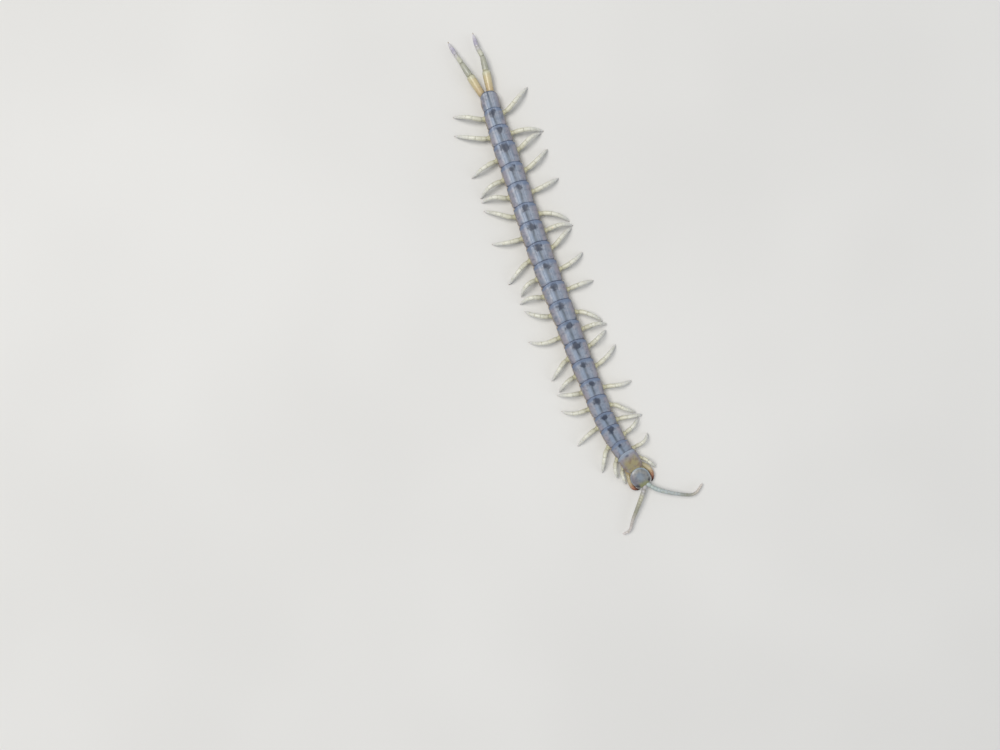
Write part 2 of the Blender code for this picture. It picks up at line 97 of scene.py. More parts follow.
# Walking legs and last legs, with their centre lines as in the solids
LEG_COUNT = 20
COXA_HEIGHT = 1.12
COXA_REACH = 0.14
COXA_TURNS = ((1, 0.62), (3, 0.55), (5, 0.45))
LEG_SLIDES = {
    LEFT: ((1, -0.2), (2, 0.95), (3, 0.95), (4, 0.45), (5, 0.05), (6, 0.25), (18, 0.2), (20, -0.1)),
    RIGHT: ((1, -0.2), (2, 0.5), (3, 0.75), (4, 0.45), (5, 0.05), (6, 0.25), (18, 0.2), (20, -0.1)),
}
SWING_SLIDE = 0.7
LEG_REACHES = ((1, 3.0), (3, 3.7), (5, 4.15), (12, 4.35), (18, 4.6), (20, 5.2))
LEG_THICKNESSES = ((1, 0.76), (3, 0.92), (6, 1.0), (20, 1.04))
LEG_RADII = ((0, 0.3), (0.12, 0.31), (0.28, 0.265), (0.38, 0.28), (0.5, 0.25), (0.58, 0.255),
             (0.7, 0.22), (0.78, 0.21), (0.87, 0.165), (0.95, 0.11), (1, 0.05))
LEG_STEPS = 60
ROOT_TURN_PLACE = 0.2
KNEE_PLACE = 0.42
KNEE_RISE = 0.42
KNEE_FOLD = 0.55
SHIN_DROP = 0.9
POSES = {
    LEFT: (
        (68, 72, 1.0), (6, -34, 0.94), (-14, -28, 0.88), (16, 20, 1.0), (50, 34, 0.98),
        (18, -4, 1.04), (-24, -34, 1.04), (-26, -22, 0.84), (-2, 30, 0.9), (38, 52, 1.0),
        (-2, 6, 0.96), (-10, -32, 1.0), (-34, -22, 0.98), (-4, 26, 0.96), (24, 48, 1.04),
        (-8, -20, 1.0), (-25, -34, 1.04), (-30, -6, 0.96), (8, 22, 0.98), (-34, -38, 1.04)),
    RIGHT: (
        (68, 92, 0.86), (48, 96, 0.9), (44, 62, 1.08), (10, 36, 1.0), (-4, -44, 0.96),
        (-14, -20, 0.84), (12, 52, 0.78), (34, 42, 0.94), (2, -40, 1.08), (-24, -52, 0.92),
        (-22, 24, 0.84), (10, 62, 0.8), (28, 34, 1.04), (-2, -26, 1.0), (-32, -36, 1.04),
        (-24, 10, 0.9), (10, 36, 0.92), (14, 16, 0.94), (-20, -38, 1.06), (-22, -30, 0.9)),
}
ULTIMATE_OFFSETS = {LEFT: 0.4, RIGHT: 0.92}
ULTIMATE_LENGTHS = (3.0, 2.15, 1.6, 1.3, 0.95)
ULTIMATE_RADII = (0.46, 0.43, 0.31, 0.26, 0.25, 0.05)
ULTIMATE_HEIGHTS = (1.2, 1.45, 1.48, 1.25, 1.0, 0.86)
ULTIMATE_HEADINGS = {LEFT: (9, 8, -8, 4, 7), RIGHT: (-12, -12, -12, -10, -7)}

# Finer shapes that only the looks have; the legs are a little thicker than in the solids
HAIR_CORNERS = (0, 2.09, 4.19)
HAIR_CLEARANCE = 0.01
PLATE_EDGE = 0.955
PLATE_SPREAD = 1.35
PLATE_THICKNESS = 0.05
PLATE_FRONT = -0.3
PLATE_REAR = 0.03
LEG_FULLNESS = 1.13
PLATE_BULGE = 0.38
PATCH_THICKNESS = 0.032
PATCH_SINK = 0.012
TEETH_HEIGHT = 0.66
SUTURE_PLACE = 0.34
SPOT_SIZES = (0.24, 0.3, 0.21, 0.27, 0.34)
SHIELD_FRONT = 1.57
SHIELD_REAR = 1.43
CLAW_START = 0.925
CLAW_SHARE = 0.075
LEG_JOINTS = (0.035, 0.33, 0.54, 0.74, 0.88, 0.945)
CLAW_RADII = ((0, 0.066), (0.3, 0.056), (0.6, 0.04), (0.85, 0.02), (1, 0.006))
ULTIMATE_SWELL = (0.84, 1.0, 1.09, 1.16, 1.2, 1.18, 1.15, 1.07, 0.84)
ULTIMATE_END = 0.82
CLAW_CLEARANCE = 0.012
PREFEMUR_PROFILE = ((-0.2, 0.25), (-0.17, 0.6), (-0.1, 0.92), (0, 1.08), (0.1, 1.15), (0.3, 1.22),
                    (0.5, 1.28), (0.75, 1.36), (0.9, 1.4), (0.965, 1.33), (1, 1.0))
# Number and size of the hairs on one article
LEG_HAIRS = (7, 0.07)
ULTIMATE_HAIRS = (26, 0.09)
ANTENNA_HAIRS = (90, 0.065)
JAW_HAIRS = (16, 0.07)

# Studio, in metres, but for the lens and its sensor
FLOOR_SIZE = 1.2
CAMERA_PLACE = (-0.01354, -0.00972, 0.141)
CAMERA_ROLL = -21.4
CAMERA_LENS = 35
CAMERA_SENSOR = 36
CAMERA_CLIP = (0.005, 5)
KEY_PLACE = (-0.15, 0.12, 0.55)
KEY_SIZE = 0.34
KEY_POWER = 2.5
KEY_TINT = (1.0, 0.985, 0.96)
FILL_PLACE = (0.4, -0.3, 0.45)
FILL_SIZE = 0.5
FILL_POWER = 0.6
FILL_TINT = (0.9, 0.95, 1.0)
SKY_TINT = (0.88, 0.93, 1.0, 1)
SKY_STRENGTH = 0.42


def between(pairs, x):
    """Read values at x from (place, value) pairs."""
    table = np.array(pairs, float)
    return np.interp(x, table[:, 0], table[:, 1])


def combine(*values):
    """Points or marks from numbers or grids of numbers."""
    return np.stack(np.broadcast_arrays(*values), -1)


def ring_angles(count):
    """Angles of the corners of a closed ring, as one row."""
    return np.linspace(0, 2 * np.pi, count, endpoint=False)[None]


def body_table():
    """Centre line of the body, at places counted in segments from the head."""
    steps = 24
    places = np.arange(-steps, (SEGMENTS + 1) * steps + 1) / steps
    middles = (places[1:] + places[:-1]) / 2
    lengths = SEGMENT_LENGTHS[np.clip(np.floor(middles).astype(int), 0, SEGMENTS - 1)] / steps
    turns = np.radians(between(BODY_HEADINGS, middles))
    x = np.concatenate(([0], np.cumsum(-np.sin(turns) * lengths)))
    y = np.concatenate(([0], np.cumsum(np.cos(turns) * lengths)))
    x += NECK[0] - np.interp(0, places, x)
    y += NECK[1] - np.interp(0, places, y)
    return places, x, y


BODY_PLACES, BODY_X, BODY_Y = body_table()


def on_body(place, sideways, height):
    """Points beside the centre line, sideways toward the animal's left."""
    turn = np.radians(between(BODY_HEADINGS, place))
    x = np.interp(place, BODY_PLACES, BODY_X) + np.cos(turn) * sideways
    y = np.interp(place, BODY_PLACES, BODY_Y) + np.sin(turn) * sideways
    return combine(x, y, height)


def directions(heading):
    """Unit vectors forward and to the left for a heading turned from -Y toward +X."""
    turn = math.radians(heading)
    ahead = np.array((math.sin(turn), -math.cos(turn), 0))
    left = np.array((math.cos(turn), math.sin(turn), 0))
    return ahead, left


HEAD_AHEAD, HEAD_LEFT = directions(HEAD_HEADING)


def on_head(forward, sideways, height):
    forward, sideways, height = np.broadcast_arrays(forward, sideways, height)
    point = forward[..., None] * HEAD_AHEAD + sideways[..., None] * HEAD_LEFT
    point = point + np.array((HEAD_CENTRE[0], HEAD_CENTRE[1], 0))
    point[..., 2] = height
    return point


def turned(first, second, degrees):
    """Direction turned from first toward second."""
    turn = math.radians(degrees)
    return first * math.cos(turn) + second * math.sin(turn)


def walk(spot, first, second, bends, length, steps, rise):
    """Path from a spot, bent from first toward second, at the heights that rise gives."""
    path = []
    for count in range(steps + 1):
        place = count / steps
        path.append((spot[0], spot[1], rise(place)))
        spot = spot + turned(first, second, between(bends, place + 0.5 / steps)) * (length / steps)
    return np.array(path)


def inward(vector, left, side):
    """The vector or its opposite, whichever points to the middle of the body."""
    return vector if vector @ left * side < 0 else -vector


def bell(x, middle, width):
    return np.exp(-((x - middle) / width) ** 2)


def step(x, low, high):
    share = np.clip((x - low) / (high - low), 0, 1)
    return share * share * (3 - 2 * share)


def place_object(name, data):
    """New object for a mesh, light or camera."""
    item = bpy.data.objects.new(name, data)
    bpy.context.scene.collection.objects.link(item)
    return item


def quads(rows, columns, closed):
    """Faces of a grid of points; closed joins its last column to the first."""
    faces = []
    for row in range(rows - 1):
        for column in range(columns if closed else columns - 1):
            after = (column + 1) % columns
            a = row * columns
            b = a + columns
            faces.append((a + column, a + after, b + after, b + column))
    return faces


class Mesh:
    """Collects points, faces and marks (three numbers a point that the materials read)."""

    def __init__(self):
        self.points = []
        self.marks = []
        self.faces = []
        self.count = 0

    def add(self, points, marks, faces):
        points = np.asarray(points, float).reshape(-1, 3)
        marks = np.broadcast_to(np.asarray(marks, float), points.shape)
        self.faces.extend([tuple(index + self.count for index in face) for face in faces])
        self.points.append(points)
        self.marks.append(marks)
        self.count += len(points)

    def add_rings(self, points, marks):
        """Rows of points, each closed to a ring, with caps on the first and last ring."""
        rows, columns = points.shape[:2]
        faces = quads(rows, columns, True)
        faces.append(tuple(range(columns))[::-1])
        faces.append(tuple(range((rows - 1) * columns, rows * columns)))
        self.add(points, marks.reshape(-1, 3), faces)

    def add_plate(self, top, under, marks):
        """Closed shell between two grids of the same size."""
        rows, columns = top.shape[:2]
        size = rows * columns
        faces = []
        for a, b, c, d in quads(rows, columns, False):
            faces += [(a, b, c, d), (size + a, size + d, size + c, size + b)]
        grid = np.arange(size).reshape(rows, columns)
        rim = np.concatenate((grid[0], grid[1:, -1], grid[-1, -2::-1], grid[-2:0:-1, 0])).tolist()
        for a, b in zip(rim, rim[1:] + rim[:1]):
            faces.append((b, a, size + a, size + b))
        flat = marks.reshape(-1, 3)
        self.add(np.stack((top, under)), np.concatenate((flat, flat)), faces)

    def build(self, name, material, slot, nodes=(), smooth=True):
        mesh = bpy.data.meshes.new(name)
        points = np.concatenate(self.points) * MM
        mesh.from_pydata(points.tolist(), [], self.faces)
        marks = mesh.attributes.new("marks", "FLOAT_VECTOR", "POINT")
        marks.data.foreach_set("vector", np.concatenate(self.marks).astype(np.float32).ravel())
        work = bmesh.new()
        work.from_mesh(mesh)
        bmesh.ops.recalc_face_normals(work, faces=work.faces)
        work.to_mesh(mesh)
        work.free()
        if smooth:
            mesh.shade_smooth()
        mesh.materials.append(material)
        item = place_object(name, mesh)
        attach(item, "root")
        if nodes:
            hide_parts(*nodes)


def tube(mesh, path, radii, sides, along, inner=0.5):
    """Round tube along a path, closed at both ends, kept above the floor; returns its frames.

    Marks: place along the limb, height round the tube, share of the article to its nearest joint."""
    path = np.asarray(path, float)
    radii = np.broadcast_to(radii, len(path))
    ahead = np.gradient(path, axis=0)
    ahead /= np.linalg.norm(ahead, axis=1)[:, None]
    across = np.cross((0, 0, 1), ahead)
    across /= np.maximum(np.linalg.norm(across, axis=1), 1e-6)[:, None]
    up = np.cross(ahead, across)
    angles = 2 * np.pi * (np.arange(sides) + 0.5) / sides
    ring = across[:, None] * np.cos(angles)[None, :, None] + up[:, None] * np.sin(angles)[None, :, None]
    points = path[:, None] + ring * radii[:, None, None]
    points[..., 2] = np.maximum(points[..., 2], FLOOR_GAP)
    along, inner = (np.broadcast_to(mark, len(path))[:, None] for mark in (along, inner))
    mesh.add_rings(points, combine(along, np.sin(angles)[None], inner))
    return ahead, across, up


def bristle(mesh, root, direction, length, radius, mark=0.0):
    """Fine pointed hair of three sides, with its root sunk a little."""
    direction = direction / np.linalg.norm(direction)
    side = np.cross(direction, (0.3, 0.2, 1.0))
    side /= np.linalg.norm(side)
    other = np.cross(direction, side)
    base = root - direction * radius
    corners = [base + (side * math.cos(a) + other * math.sin(a)) * radius for a in HAIR_CORNERS]
    tip = root + direction * length
    if tip[2] < HAIR_CLEARANCE:
        return
    mesh.add(corners + [tip], (mark, 0, 0), [(0, 1, 3), (1, 2, 3), (2, 0, 3), (2, 1, 0)])


# Materials


GRAIN_DEPTH = 0.02


def colour(red, green, blue):
    """Linear colour from screen values of 0 to 255."""
    def linear(value):
        value /= 255
        return value / 12.92 if value <= 0.04045 else ((value + 0.055) / 1.055) ** 2.4
    return linear(red), linear(green), linear(blue), 1


class Value:
    """Output of a node, with the usual sums."""

    def __init__(self, nodes, socket):
        self.nodes = nodes
        self.socket = socket

    def __add__(self, other):
        return self.nodes.math("ADD", self, other)

    def __sub__(self, other):
        return self.nodes.math("SUBTRACT", self, other)

    def __mul__(self, other):
        return self.nodes.math("MULTIPLY", self, other)

    def __abs__(self):
        return self.nodes.math("ABSOLUTE", self)


class Nodes:
    """Short way to lay out a material's nodes; base is its colour so far."""

    def __init__(self, name, roughness, **settings):
        self.material = bpy.data.materials.new(name)
        self.material.use_nodes = True
        self.tree = self.material.node_tree
        self.shader = self.tree.nodes["Principled BSDF"]
        self.shader.inputs["Roughness"].default_value = roughness
        for key, value in settings.items():
            self.shader.inputs[key.replace("_", " ")].default_value = value
        self.base = None

    def new(self, kind, **settings):
        node = self.tree.nodes.new(kind)
        for key, value in settings.items():
            setattr(node, key, value)
        return node

    def set(self, socket, value):
        """Give a socket a node's output, a number, or a tone in screen values."""
        if isinstance(value, Value):
            self.tree.links.new(value.socket, socket)
        elif isinstance(value, tuple):
            socket.default_value = colour(*value)
        else:
            socket.default_value = value

    def marks(self):
        read = self.new("ShaderNodeAttribute", attribute_name="marks")
        split = self.new("ShaderNodeSeparateXYZ")
        self.tree.links.new(read.outputs["Vector"], split.inputs[0])
        return [Value(self, output) for output in split.outputs]

    def math(self, operation, a, b=0.0):
        node = self.new("ShaderNodeMath", operation=operation)
        self.set(node.inputs[0], a)
        self.set(node.inputs[1], b)
        return Value(self, node.outputs[0])

    def distance(self, a, b):
        return self.math("SQRT", a * a + b * b)

    def ramp(self, value, low, high, start=0.0, end=1.0):
        """Smooth step of a value from low to high."""
        node = self.new("ShaderNodeMapRange", interpolation_type="SMOOTHSTEP")
        self.set(node.inputs["Value"], value)
        for key, number in (("From Min", low), ("From Max", high), ("To Min", start), ("To Max", end)):
            node.inputs[key].default_value = number
        return Value(self, node.outputs[0])

    def noise(self, scale, detail=3):
        """Noise with about this many patches a millimetre of the object's own space."""
        place = self.new("ShaderNodeTexCoord")
        node = self.new("ShaderNodeTexNoise")
        node.inputs["Scale"].default_value = scale / MM
        node.inputs["Detail"].default_value = detail
        self.tree.links.new(place.outputs["Object"], node.inputs["Vector"])
        return Value(self, node.outputs["Fac"])

    def mix(self, share, first, second):
        """Make the base a mix of two tones."""
        node = self.new("ShaderNodeMix", data_type="RGBA")
        for index, value in ((0, share), (6, first), (7, second)):
            self.set(node.inputs[index], value)
        self.base = Value(self, node.outputs[2])

    def lay(self, tone, amount, *shares):
        """Lay a tone over the base, by the amount times the shares."""
        for share in shares:
            amount = share * amount
        self.mix(amount, self.base, tone)

    def finish(self, grain, strength):
        """Link the colour, an uneven gloss and a fine grain."""
        self.set(self.shader.inputs["Base Color"], self.base)
        rough = self.shader.inputs["Roughness"]
        usual = rough.default_value
        self.set(rough, self.ramp(self.noise(2.6), 0.3, 0.7, usual - 0.06, usual + 0.08))
        node = self.new("ShaderNodeBump")
        node.inputs["Strength"].default_value = strength
        node.inputs["Distance"].default_value = GRAIN_DEPTH * MM
        self.set(node.inputs["Height"], self.noise(grain, 4) + self.noise(grain / 5, 2) * 2.5)
        self.tree.links.new(node.outputs[0], self.shader.inputs["Normal"])
        return self.material


def plate_colours(n, wide, patches, fine):
    """Bluish grey, mottled, with pinkish sides and a brownish speckled edge."""
    n.mix(n.ramp(patches, 0.35, 0.65), (117, 127, 142), (136, 142, 153))
    n.lay((149, 142, 151), 0.85, n.ramp(wide, 0.42, 0.8), n.ramp(n.noise(0.9, 2), 0.25, 0.6))
    n.lay((106, 119, 128), 0.7, n.ramp(wide, 0.15, 0.04), n.ramp(patches, 0.75, 0.4))
    n.lay((132, 124, 110), 0.6, n.ramp(wide, 0.85, 0.95), n.ramp(fine, 0.35, 0.6))
    n.lay((98, 102, 114), 0.6, n.ramp(n.noise(1.9, 5), 0.5, 0.64))
    n.lay((152, 147, 152), 0.5, n.ramp(n.noise(1.5, 4), 0.52, 0.68))
    n.lay((166, 169, 177), 0.4, n.ramp(fine, 0.57, 0.74))


def plate_material():
    """Back plates: the third mark is the size of the dark spot."""
    n = Nodes("back_plate", 0.39, Coat_Weight=0.13, Coat_Roughness=0.3)
    along, across, spot = n.marks()
    wide = abs(across)
    patches, fine = n.noise(0.7, 2), n.noise(3.2, 4)
    broken = n.ramp(n.noise(1.2, 3), 0.34, 0.6)
    plate_colours(n, wide, patches, fine)
    # Pale stripe on each side of the midline, partly a real marking, made stronger on the animal's right and
    # toward the front as a painted highlight
    stripe_and_highlight = n.ramp(wide, 0.06, 0.17) * n.ramp(wide, 0.58, 0.36)
    n.lay((127, 142, 163), 0.75, stripe_and_highlight, n.ramp(across, 0.3, -0.15, 0.4, 1.0),
          n.ramp(along, 0.8, 0.45), n.ramp(patches, 0.1, 0.5))
    # Soft darker band along the midline, and a thin streak that wanders and fades on some plates
    n.lay((82, 95, 110), 0.6, n.ramp(wide, 0.26, 0.05))
    middle = across + (n.noise(0.4, 2) - 0.5) * 0.5
    n.lay((58, 70, 84), 0.8, n.ramp(abs(middle), 0.1, 0.02), n.ramp(along, 0.05, 0.5),
          n.ramp(fine, 0.28, 0.5), n.ramp(n.noise(0.5, 1), 0.36, 0.56, 0.15, 1.0))
    banded = n.ramp(spot, 0.0, 0.2)
    n.lay((106, 121, 146), 0.8, n.ramp(along, 0.74, 0.88), banded)
    # Fuzzy dark spot, wider than long, and a darker patch near the midline between it and the dark line at
    # the rear edge
    reach = n.distance((along - 0.76) * 2.3, middle) + (n.noise(1.7, 4) - 0.5) * 0.85 - spot
    n.lay((20, 34, 58), 0.9, n.ramp(reach, 0.17, -0.1), banded)
    n.lay((88, 103, 126), 0.6, n.ramp(wide, 0.75, 0.1) * n.ramp(along, 0.84, 0.95), banded, broken)
    # Dark line along the rear edge and over the front end where the plates overlap, and dark notches at the
    # side corners of the joints: partly a dark joint line, partly painted shade where one plate lies over the
    # next
    notch = n.ramp(wide, 0.82, 0.96) * n.ramp(along, 0.9, 0.98)
    line = n.ramp(along, 0.95, 0.98) * n.ramp(broken, -0.6, 0.9)
    line = n.math("MAXIMUM", line, n.ramp(along, 0.13, 0.05))
    n.lay((58, 66, 88), 0.8, n.math("MAXIMUM", line, notch))
    return n.finish(6, 0.3)


def first_plate_material():
    """First back plate: pale cyan rear rim, ochre middle and pinkish sides."""
    n = Nodes("first_plate", 0.33, Coat_Weight=0.22, Coat_Roughness=0.2)
    along, across, _ = n.marks()
    wide = abs(across)
    patches, fine = n.noise(1.1, 3), n.noise(3.2, 4)
    n.mix(n.ramp(patches, 0.35, 0.65), (132, 130, 140), (148, 142, 146))
    n.lay((148, 137, 92), 0.85, n.ramp(along + patches * 0.5, 1.1, 0.7), n.ramp(wide, 0.95, 0.5))
    n.lay((116, 92, 72), 0.65, n.ramp(patches, 0.48, 0.64), n.ramp(along, 0.8, 0.5))
    n.lay((142, 154, 168), 0.85, n.ramp(along, 0.74, 0.92))
    n.lay((74, 80, 100), 0.7, n.ramp(n.distance((along - 0.8) * 3.4, across), 0.26, 0.08))
    n.lay((142, 120, 92), 0.7, n.ramp(wide, 0.88, 0.97), n.ramp(fine, 0.35, 0.6))
    n.lay((104, 98, 110), 0.4, n.ramp(n.noise(1.9, 5), 0.52, 0.7))
    # Dark line at the rear edge, where this plate lies over the next: partly a dark joint line, partly
    # painted shade of the overlap
    n.lay((56, 52, 62), 0.75, n.ramp(along, 0.965, 0.985))
    return n.finish(6, 0.3)


def head_material():
    """Head shield: mottled bluish grey, a pale rim painted as a highlight behind and on the animal's left,
    yellow-green front and dark eye corners.
    """
    n = Nodes("head_shield", 0.32, Coat_Weight=0.25, Coat_Roughness=0.18)
    forward, across, reach = n.marks()
    wide = abs(across)
    patches, fine = n.noise(1.2, 4), n.noise(3.5, 4)
    n.mix(n.ramp(patches, 0.36, 0.64), (104, 109, 116), (136, 135, 130))
    n.lay((78, 80, 84), 0.6, n.ramp(fine, 0.54, 0.7))
    n.lay((124, 138, 152), 0.6, n.ramp(wide, 0.5, 0.1), n.ramp(forward, -0.7, -0.2),
          n.ramp(forward, 0.5, 0.1))
    n.lay((112, 104, 118), 0.6, n.ramp(across, -0.2, -0.7), n.ramp(patches, 0.3, 0.6))
    n.lay((132, 134, 88), 0.85, n.ramp(forward, 0.28, 0.68), n.ramp(patches, 0.2, 0.5),
          n.ramp(wide, 0.75, 0.4))
    # Pale rim, stronger behind and on the animal's left: a painted highlight of the light on the shield's
    # edge
    n.lay((156, 170, 178), 0.8, n.ramp(reach, 0.8, 0.96), n.ramp(forward, 0.6, 0.2),
          n.ramp(across, -0.6, 0.3, 0.4, 1.0))
    n.lay((52, 50, 58), 0.75, n.ramp(n.distance((wide - 0.68) * 0.95, forward - 0.6), 0.3, 0.08))
    n.lay((66, 68, 76), 0.7, n.ramp(reach, 0.985, 0.998))
    return n.finish(5, 0.3)


def patch_material(name, light, dark, roughness, scale, strength, settings):
    """Two tones in soft patches, with fine darker flecks and a grain."""
    n = Nodes(name, roughness, **settings)
    n.mix(n.ramp(n.noise(scale), 0.35, 0.65), light, dark)
    n.lay(dark, 0.6, n.ramp(n.noise(4 * scale, 4), 0.55, 0.72))
    return n.finish(7, strength)


def limb_material(name, roughness, settings, stops):
    """Colour that changes along a limb through (place, tone) stops, with faint rings at the joints."""
    n = Nodes(name, roughness, **settings)
    along, _, inner = n.marks()
    place = along + (n.noise(1.3, 3) - 0.5) * 0.12
    n.base = stops[0][1]
    for (low, _), (high, tone) in zip(stops, stops[1:]):
        n.mix(n.ramp(place, low, high), n.base, tone)
    n.lay((150, 150, 118), 0.3, n.ramp(n.noise(2.2, 4), 0.5, 0.7))
    n.lay((120, 104, 84), 0.22, n.ramp(n.noise(4, 4), 0.56, 0.75))
    n.lay((150, 144, 116), 0.18, n.ramp(inner, 0.07, 0.0))
    return n.finish(8, 0.25)


SOFT = {"Subsurface_Weight": 0.15, "Subsurface_Radius": (0.7, 0.65, 0.5), "Subsurface_Scale": 0.0005}
GLOSS = {"Coat_Weight": 0.25, "Coat_Roughness": 0.15}
# Light tone, dark tone, roughness, patches a millimetre, grain and other settings
PATCH_MATERIALS = {
    "soft_skin": ((170, 158, 144), (134, 123, 117), 0.45, 0.8, 0.3, SOFT),
    "tail_pad": ((188, 172, 156), (160, 143, 130), 0.4, 1.4, 0.3, SOFT),
    "side_plate": ((176, 160, 136), (144, 127, 108), 0.36, 1.6, 0.3, GLOSS),
    "belly_plate": ((188, 180, 142), (166, 158, 124), 0.34, 0.8, 0.3, GLOSS),
    "head_soft": ((168, 156, 116), (132, 116, 86), 0.36, 1.4, 0.3, GLOSS),
    "collar": ((170, 150, 108), (138, 112, 86), 0.34, 1.2, 0.3, GLOSS),
    "dark_spine": ((64, 42, 32), (38, 26, 22), 0.25, 3.0, 0.3, {}),
    "eye": ((14, 12, 18), (26, 22, 30), 0.1, 3.0, 0.05, {"Coat_Weight": 1.0}),
    "hair": ((176, 162, 130), (140, 122, 92), 0.5, 2.0, 0.0, {}),
}
# Roughness, other settings, and tones at places along the limb
LIMB_MATERIALS = {
    "leg": (0.34, SOFT, ((-0.1, (182, 178, 148)), (0.12, (207, 204, 184)), (0.45, (216, 214, 200)),
                         (0.78, (213, 212, 204)), (0.96, (212, 211, 209)))),
    "leg_claw": (0.25, {}, ((0.0, (196, 190, 172)), (0.35, (166, 140, 108)), (0.85, (92, 68, 50)))),
    "forcipule": (0.26, GLOSS, ((0.0, (172, 162, 132)), (0.3, (192, 180, 148)), (0.48, (184, 154, 122)),
                                (0.62, (158, 110, 82)))),
    "fang": (0.18, GLOSS, ((0.62, (156, 104, 76)), (0.8, (102, 60, 48)), (0.93, (40, 26, 23)))),
    "left_antenna": (0.4, SOFT, ((0.0, (172, 183, 181)), (0.4, (172, 178, 178)), (0.66, (148, 150, 140)),
                                 (0.84, (194, 186, 176)), (1.0, (206, 198, 192)))),
    "right_antenna": (0.4, SOFT, ((0.0, (172, 169, 169)), (0.16, (180, 177, 156)), (0.42, (150, 149, 134)),
                                  (0.7, (186, 179, 174)), (0.95, (206, 199, 196)))),
    "hind_leg": (0.3, SOFT, (
        (0.0, (190, 168, 130)), (0.12, (200, 186, 148)), (0.19, (196, 193, 166)), (0.24, (164, 164, 150)),
        (0.38, (170, 170, 155)), (0.46, (192, 191, 174)), (0.58, (188, 185, 184)), (0.68, (170, 165, 181)),
        (0.86, (204, 200, 207)))),
}


def make_materials():
    """Every material but the patterned plates and shield."""
    tones = {name: patch_material(name, *row) for name, row in PATCH_MATERIALS.items()}
    for name, row in LIMB_MATERIALS.items():
        tones[name] = limb_material(name, *row)
    return tones


# Back plates


def back_height(place, share, lift):
    """Height of the back at a share of the half width, as in the solids."""
    rise = between(TOP_HEIGHTS, place) - SIDE_HEIGHT + lift
    curve = np.maximum(1 - np.abs(share) ** SIDE_POWER, 0) ** BACK_POWER
    return SIDE_HEIGHT + rise * curve


def plate_relief(u, s, number):
    """Sutures, lobes and raised margins of a back plate, in millimetres."""
    wide = np.abs(s)
    deep = 0.25 if number == 0 else 1
    relief = -0.036 * deep * bell(wide, SUTURE_PLACE, 0.018) * step(u, 0.05, 0.14)
    relief += 0.028 * bell(wide, 0.62, 0.2) * step(u, 0.05, 0.3) - 0.016 * bell(s, 0, 0.22)
    relief -= 0.026 * bell(wide, 0.915, 0.022) * step(u, 0.08, 0.25)
    relief += 0.016 * bell(wide, 0.97, 0.03)
    relief += 0.016 * bell(u, 0.95, 0.04) - 0.014 * bell(u, 0.87, 0.04) - 0.016 * bell(u, 0.13, 0.018)
    relief -= 0.05 * (1 - step(u, 0.0, 0.09)) + 0.035 * step(u, 0.975, 1) ** 2
    relief += 0.002 * np.sin(u * 9 + number * 2.1) * np.cos(s * 7 + number)
    if number == SEGMENTS - 1:
        relief -= 0.03 * bell(s, 0, 0.1) * step(u, 0.35, 0.9)
    return relief


def back_plate(mesh, number):
    """One tergite: domed shell with two long sutures, raised side rims and a rounded rear."""
    rows, columns = 44, 80
    length = SEGMENT_LENGTHS[number]
    first, last = number == 0, number == SEGMENTS - 1
    u = np.linspace(0, 1, rows)[:, None]
    s = np.sin(np.linspace(-1, 1, columns) * PLATE_SPREAD)[None] / math.sin(PLATE_SPREAD)
    u, s = np.broadcast_arrays(u, s)
    wide = np.abs(s)
    front = PLATE_FRONT / length
    rear = 1 - 0.3 / length if last else 1 + PLATE_REAR / length
    place = number + front + (rear - front) * u
    bulge = 0.45 * (1 - wide ** 2.2) if last else PLATE_BULGE * (0.4 - s ** 2)
    place = place + (bulge * u ** 4 - 0.22 * wide ** 8 * u ** 8) / length
    corner = 0.5 * wide ** 6 * (1 - u) ** 4 if first else 0.2 * wide ** 8 * (1 - u) ** 6
    place = place + corner / length
    half = between(HALF_WIDTHS, place)
    if first:
        half = np.maximum(half, 1.5) * (1 + 0.03 * bell(u, 0.45, 0.3))
    half = half * (1 - 0.07 * (1 - u) ** 3 + 0.022 * u ** 2 - 0.02 * u ** 12)
    if last:
        half = half * (1.05 - 0.04 * u)
    lift = np.interp(u, (0, 0.17, 0.55, 0.9, 1), (-0.02, 0.045, 0.06, 0.085, 0.09))
    share = s * PLATE_EDGE
    relief = plate_relief(u, s, number)
    height = back_height(place, share, lift) + relief
    top = on_body(place, half * share * (1 + 0.3 * relief), height)
    under = on_body(place, half * share * 0.985, height - PLATE_THICKNESS)
    spot = 0 if last else SPOT_SIZES[number * 2 % len(SPOT_SIZES)]
    mesh.add_plate(top, under, combine(u, s, spot))


# Belly plates


def belly_plate(mesh, number):
    """One sternite: flat plate with rounded corners and two sutures."""
    rows, columns = 26, 36
    u = np.linspace(0, 1, rows)[:, None]
    s = np.linspace(-1, 1, columns)[None]
    u, s = np.broadcast_arrays(u, s)
    place = number + 0.06 + 0.88 * u
    if number == 0:
        place = 0.1 + 0.84 * u
    edge = np.abs(2 * u - 1) ** 10
    width = 0.68 * (1 - 0.12 * edge) * (1 - 0.06 * u)
    if number == SEGMENTS - 1:
        width = width * (0.95 - 0.45 * u)
    place = place - 0.06 * np.abs(s) ** 6 * np.sign(u - 0.5) * edge
    share = s * width
    fall = SIDE_HEIGHT - between(BELLY_HEIGHTS, place)
    height = SIDE_HEIGHT - (fall + 0.045) * (1 - np.abs(share) ** SIDE_POWER) ** BACK_POWER
    relief = 0.022 * bell(np.abs(s), 0.42, 0.04) + 0.03 * step(np.abs(s), 0.94, 1) + 0.03 * edge
    half = between(HALF_WIDTHS, place)
    low = on_body(place, half * share, height + relief)
    high = on_body(place, half * share * 0.98, height + relief + PLATE_THICKNESS)
    mesh.add_plate(low, high, combine(u, s, 0.5))


# Soft skin between the plates


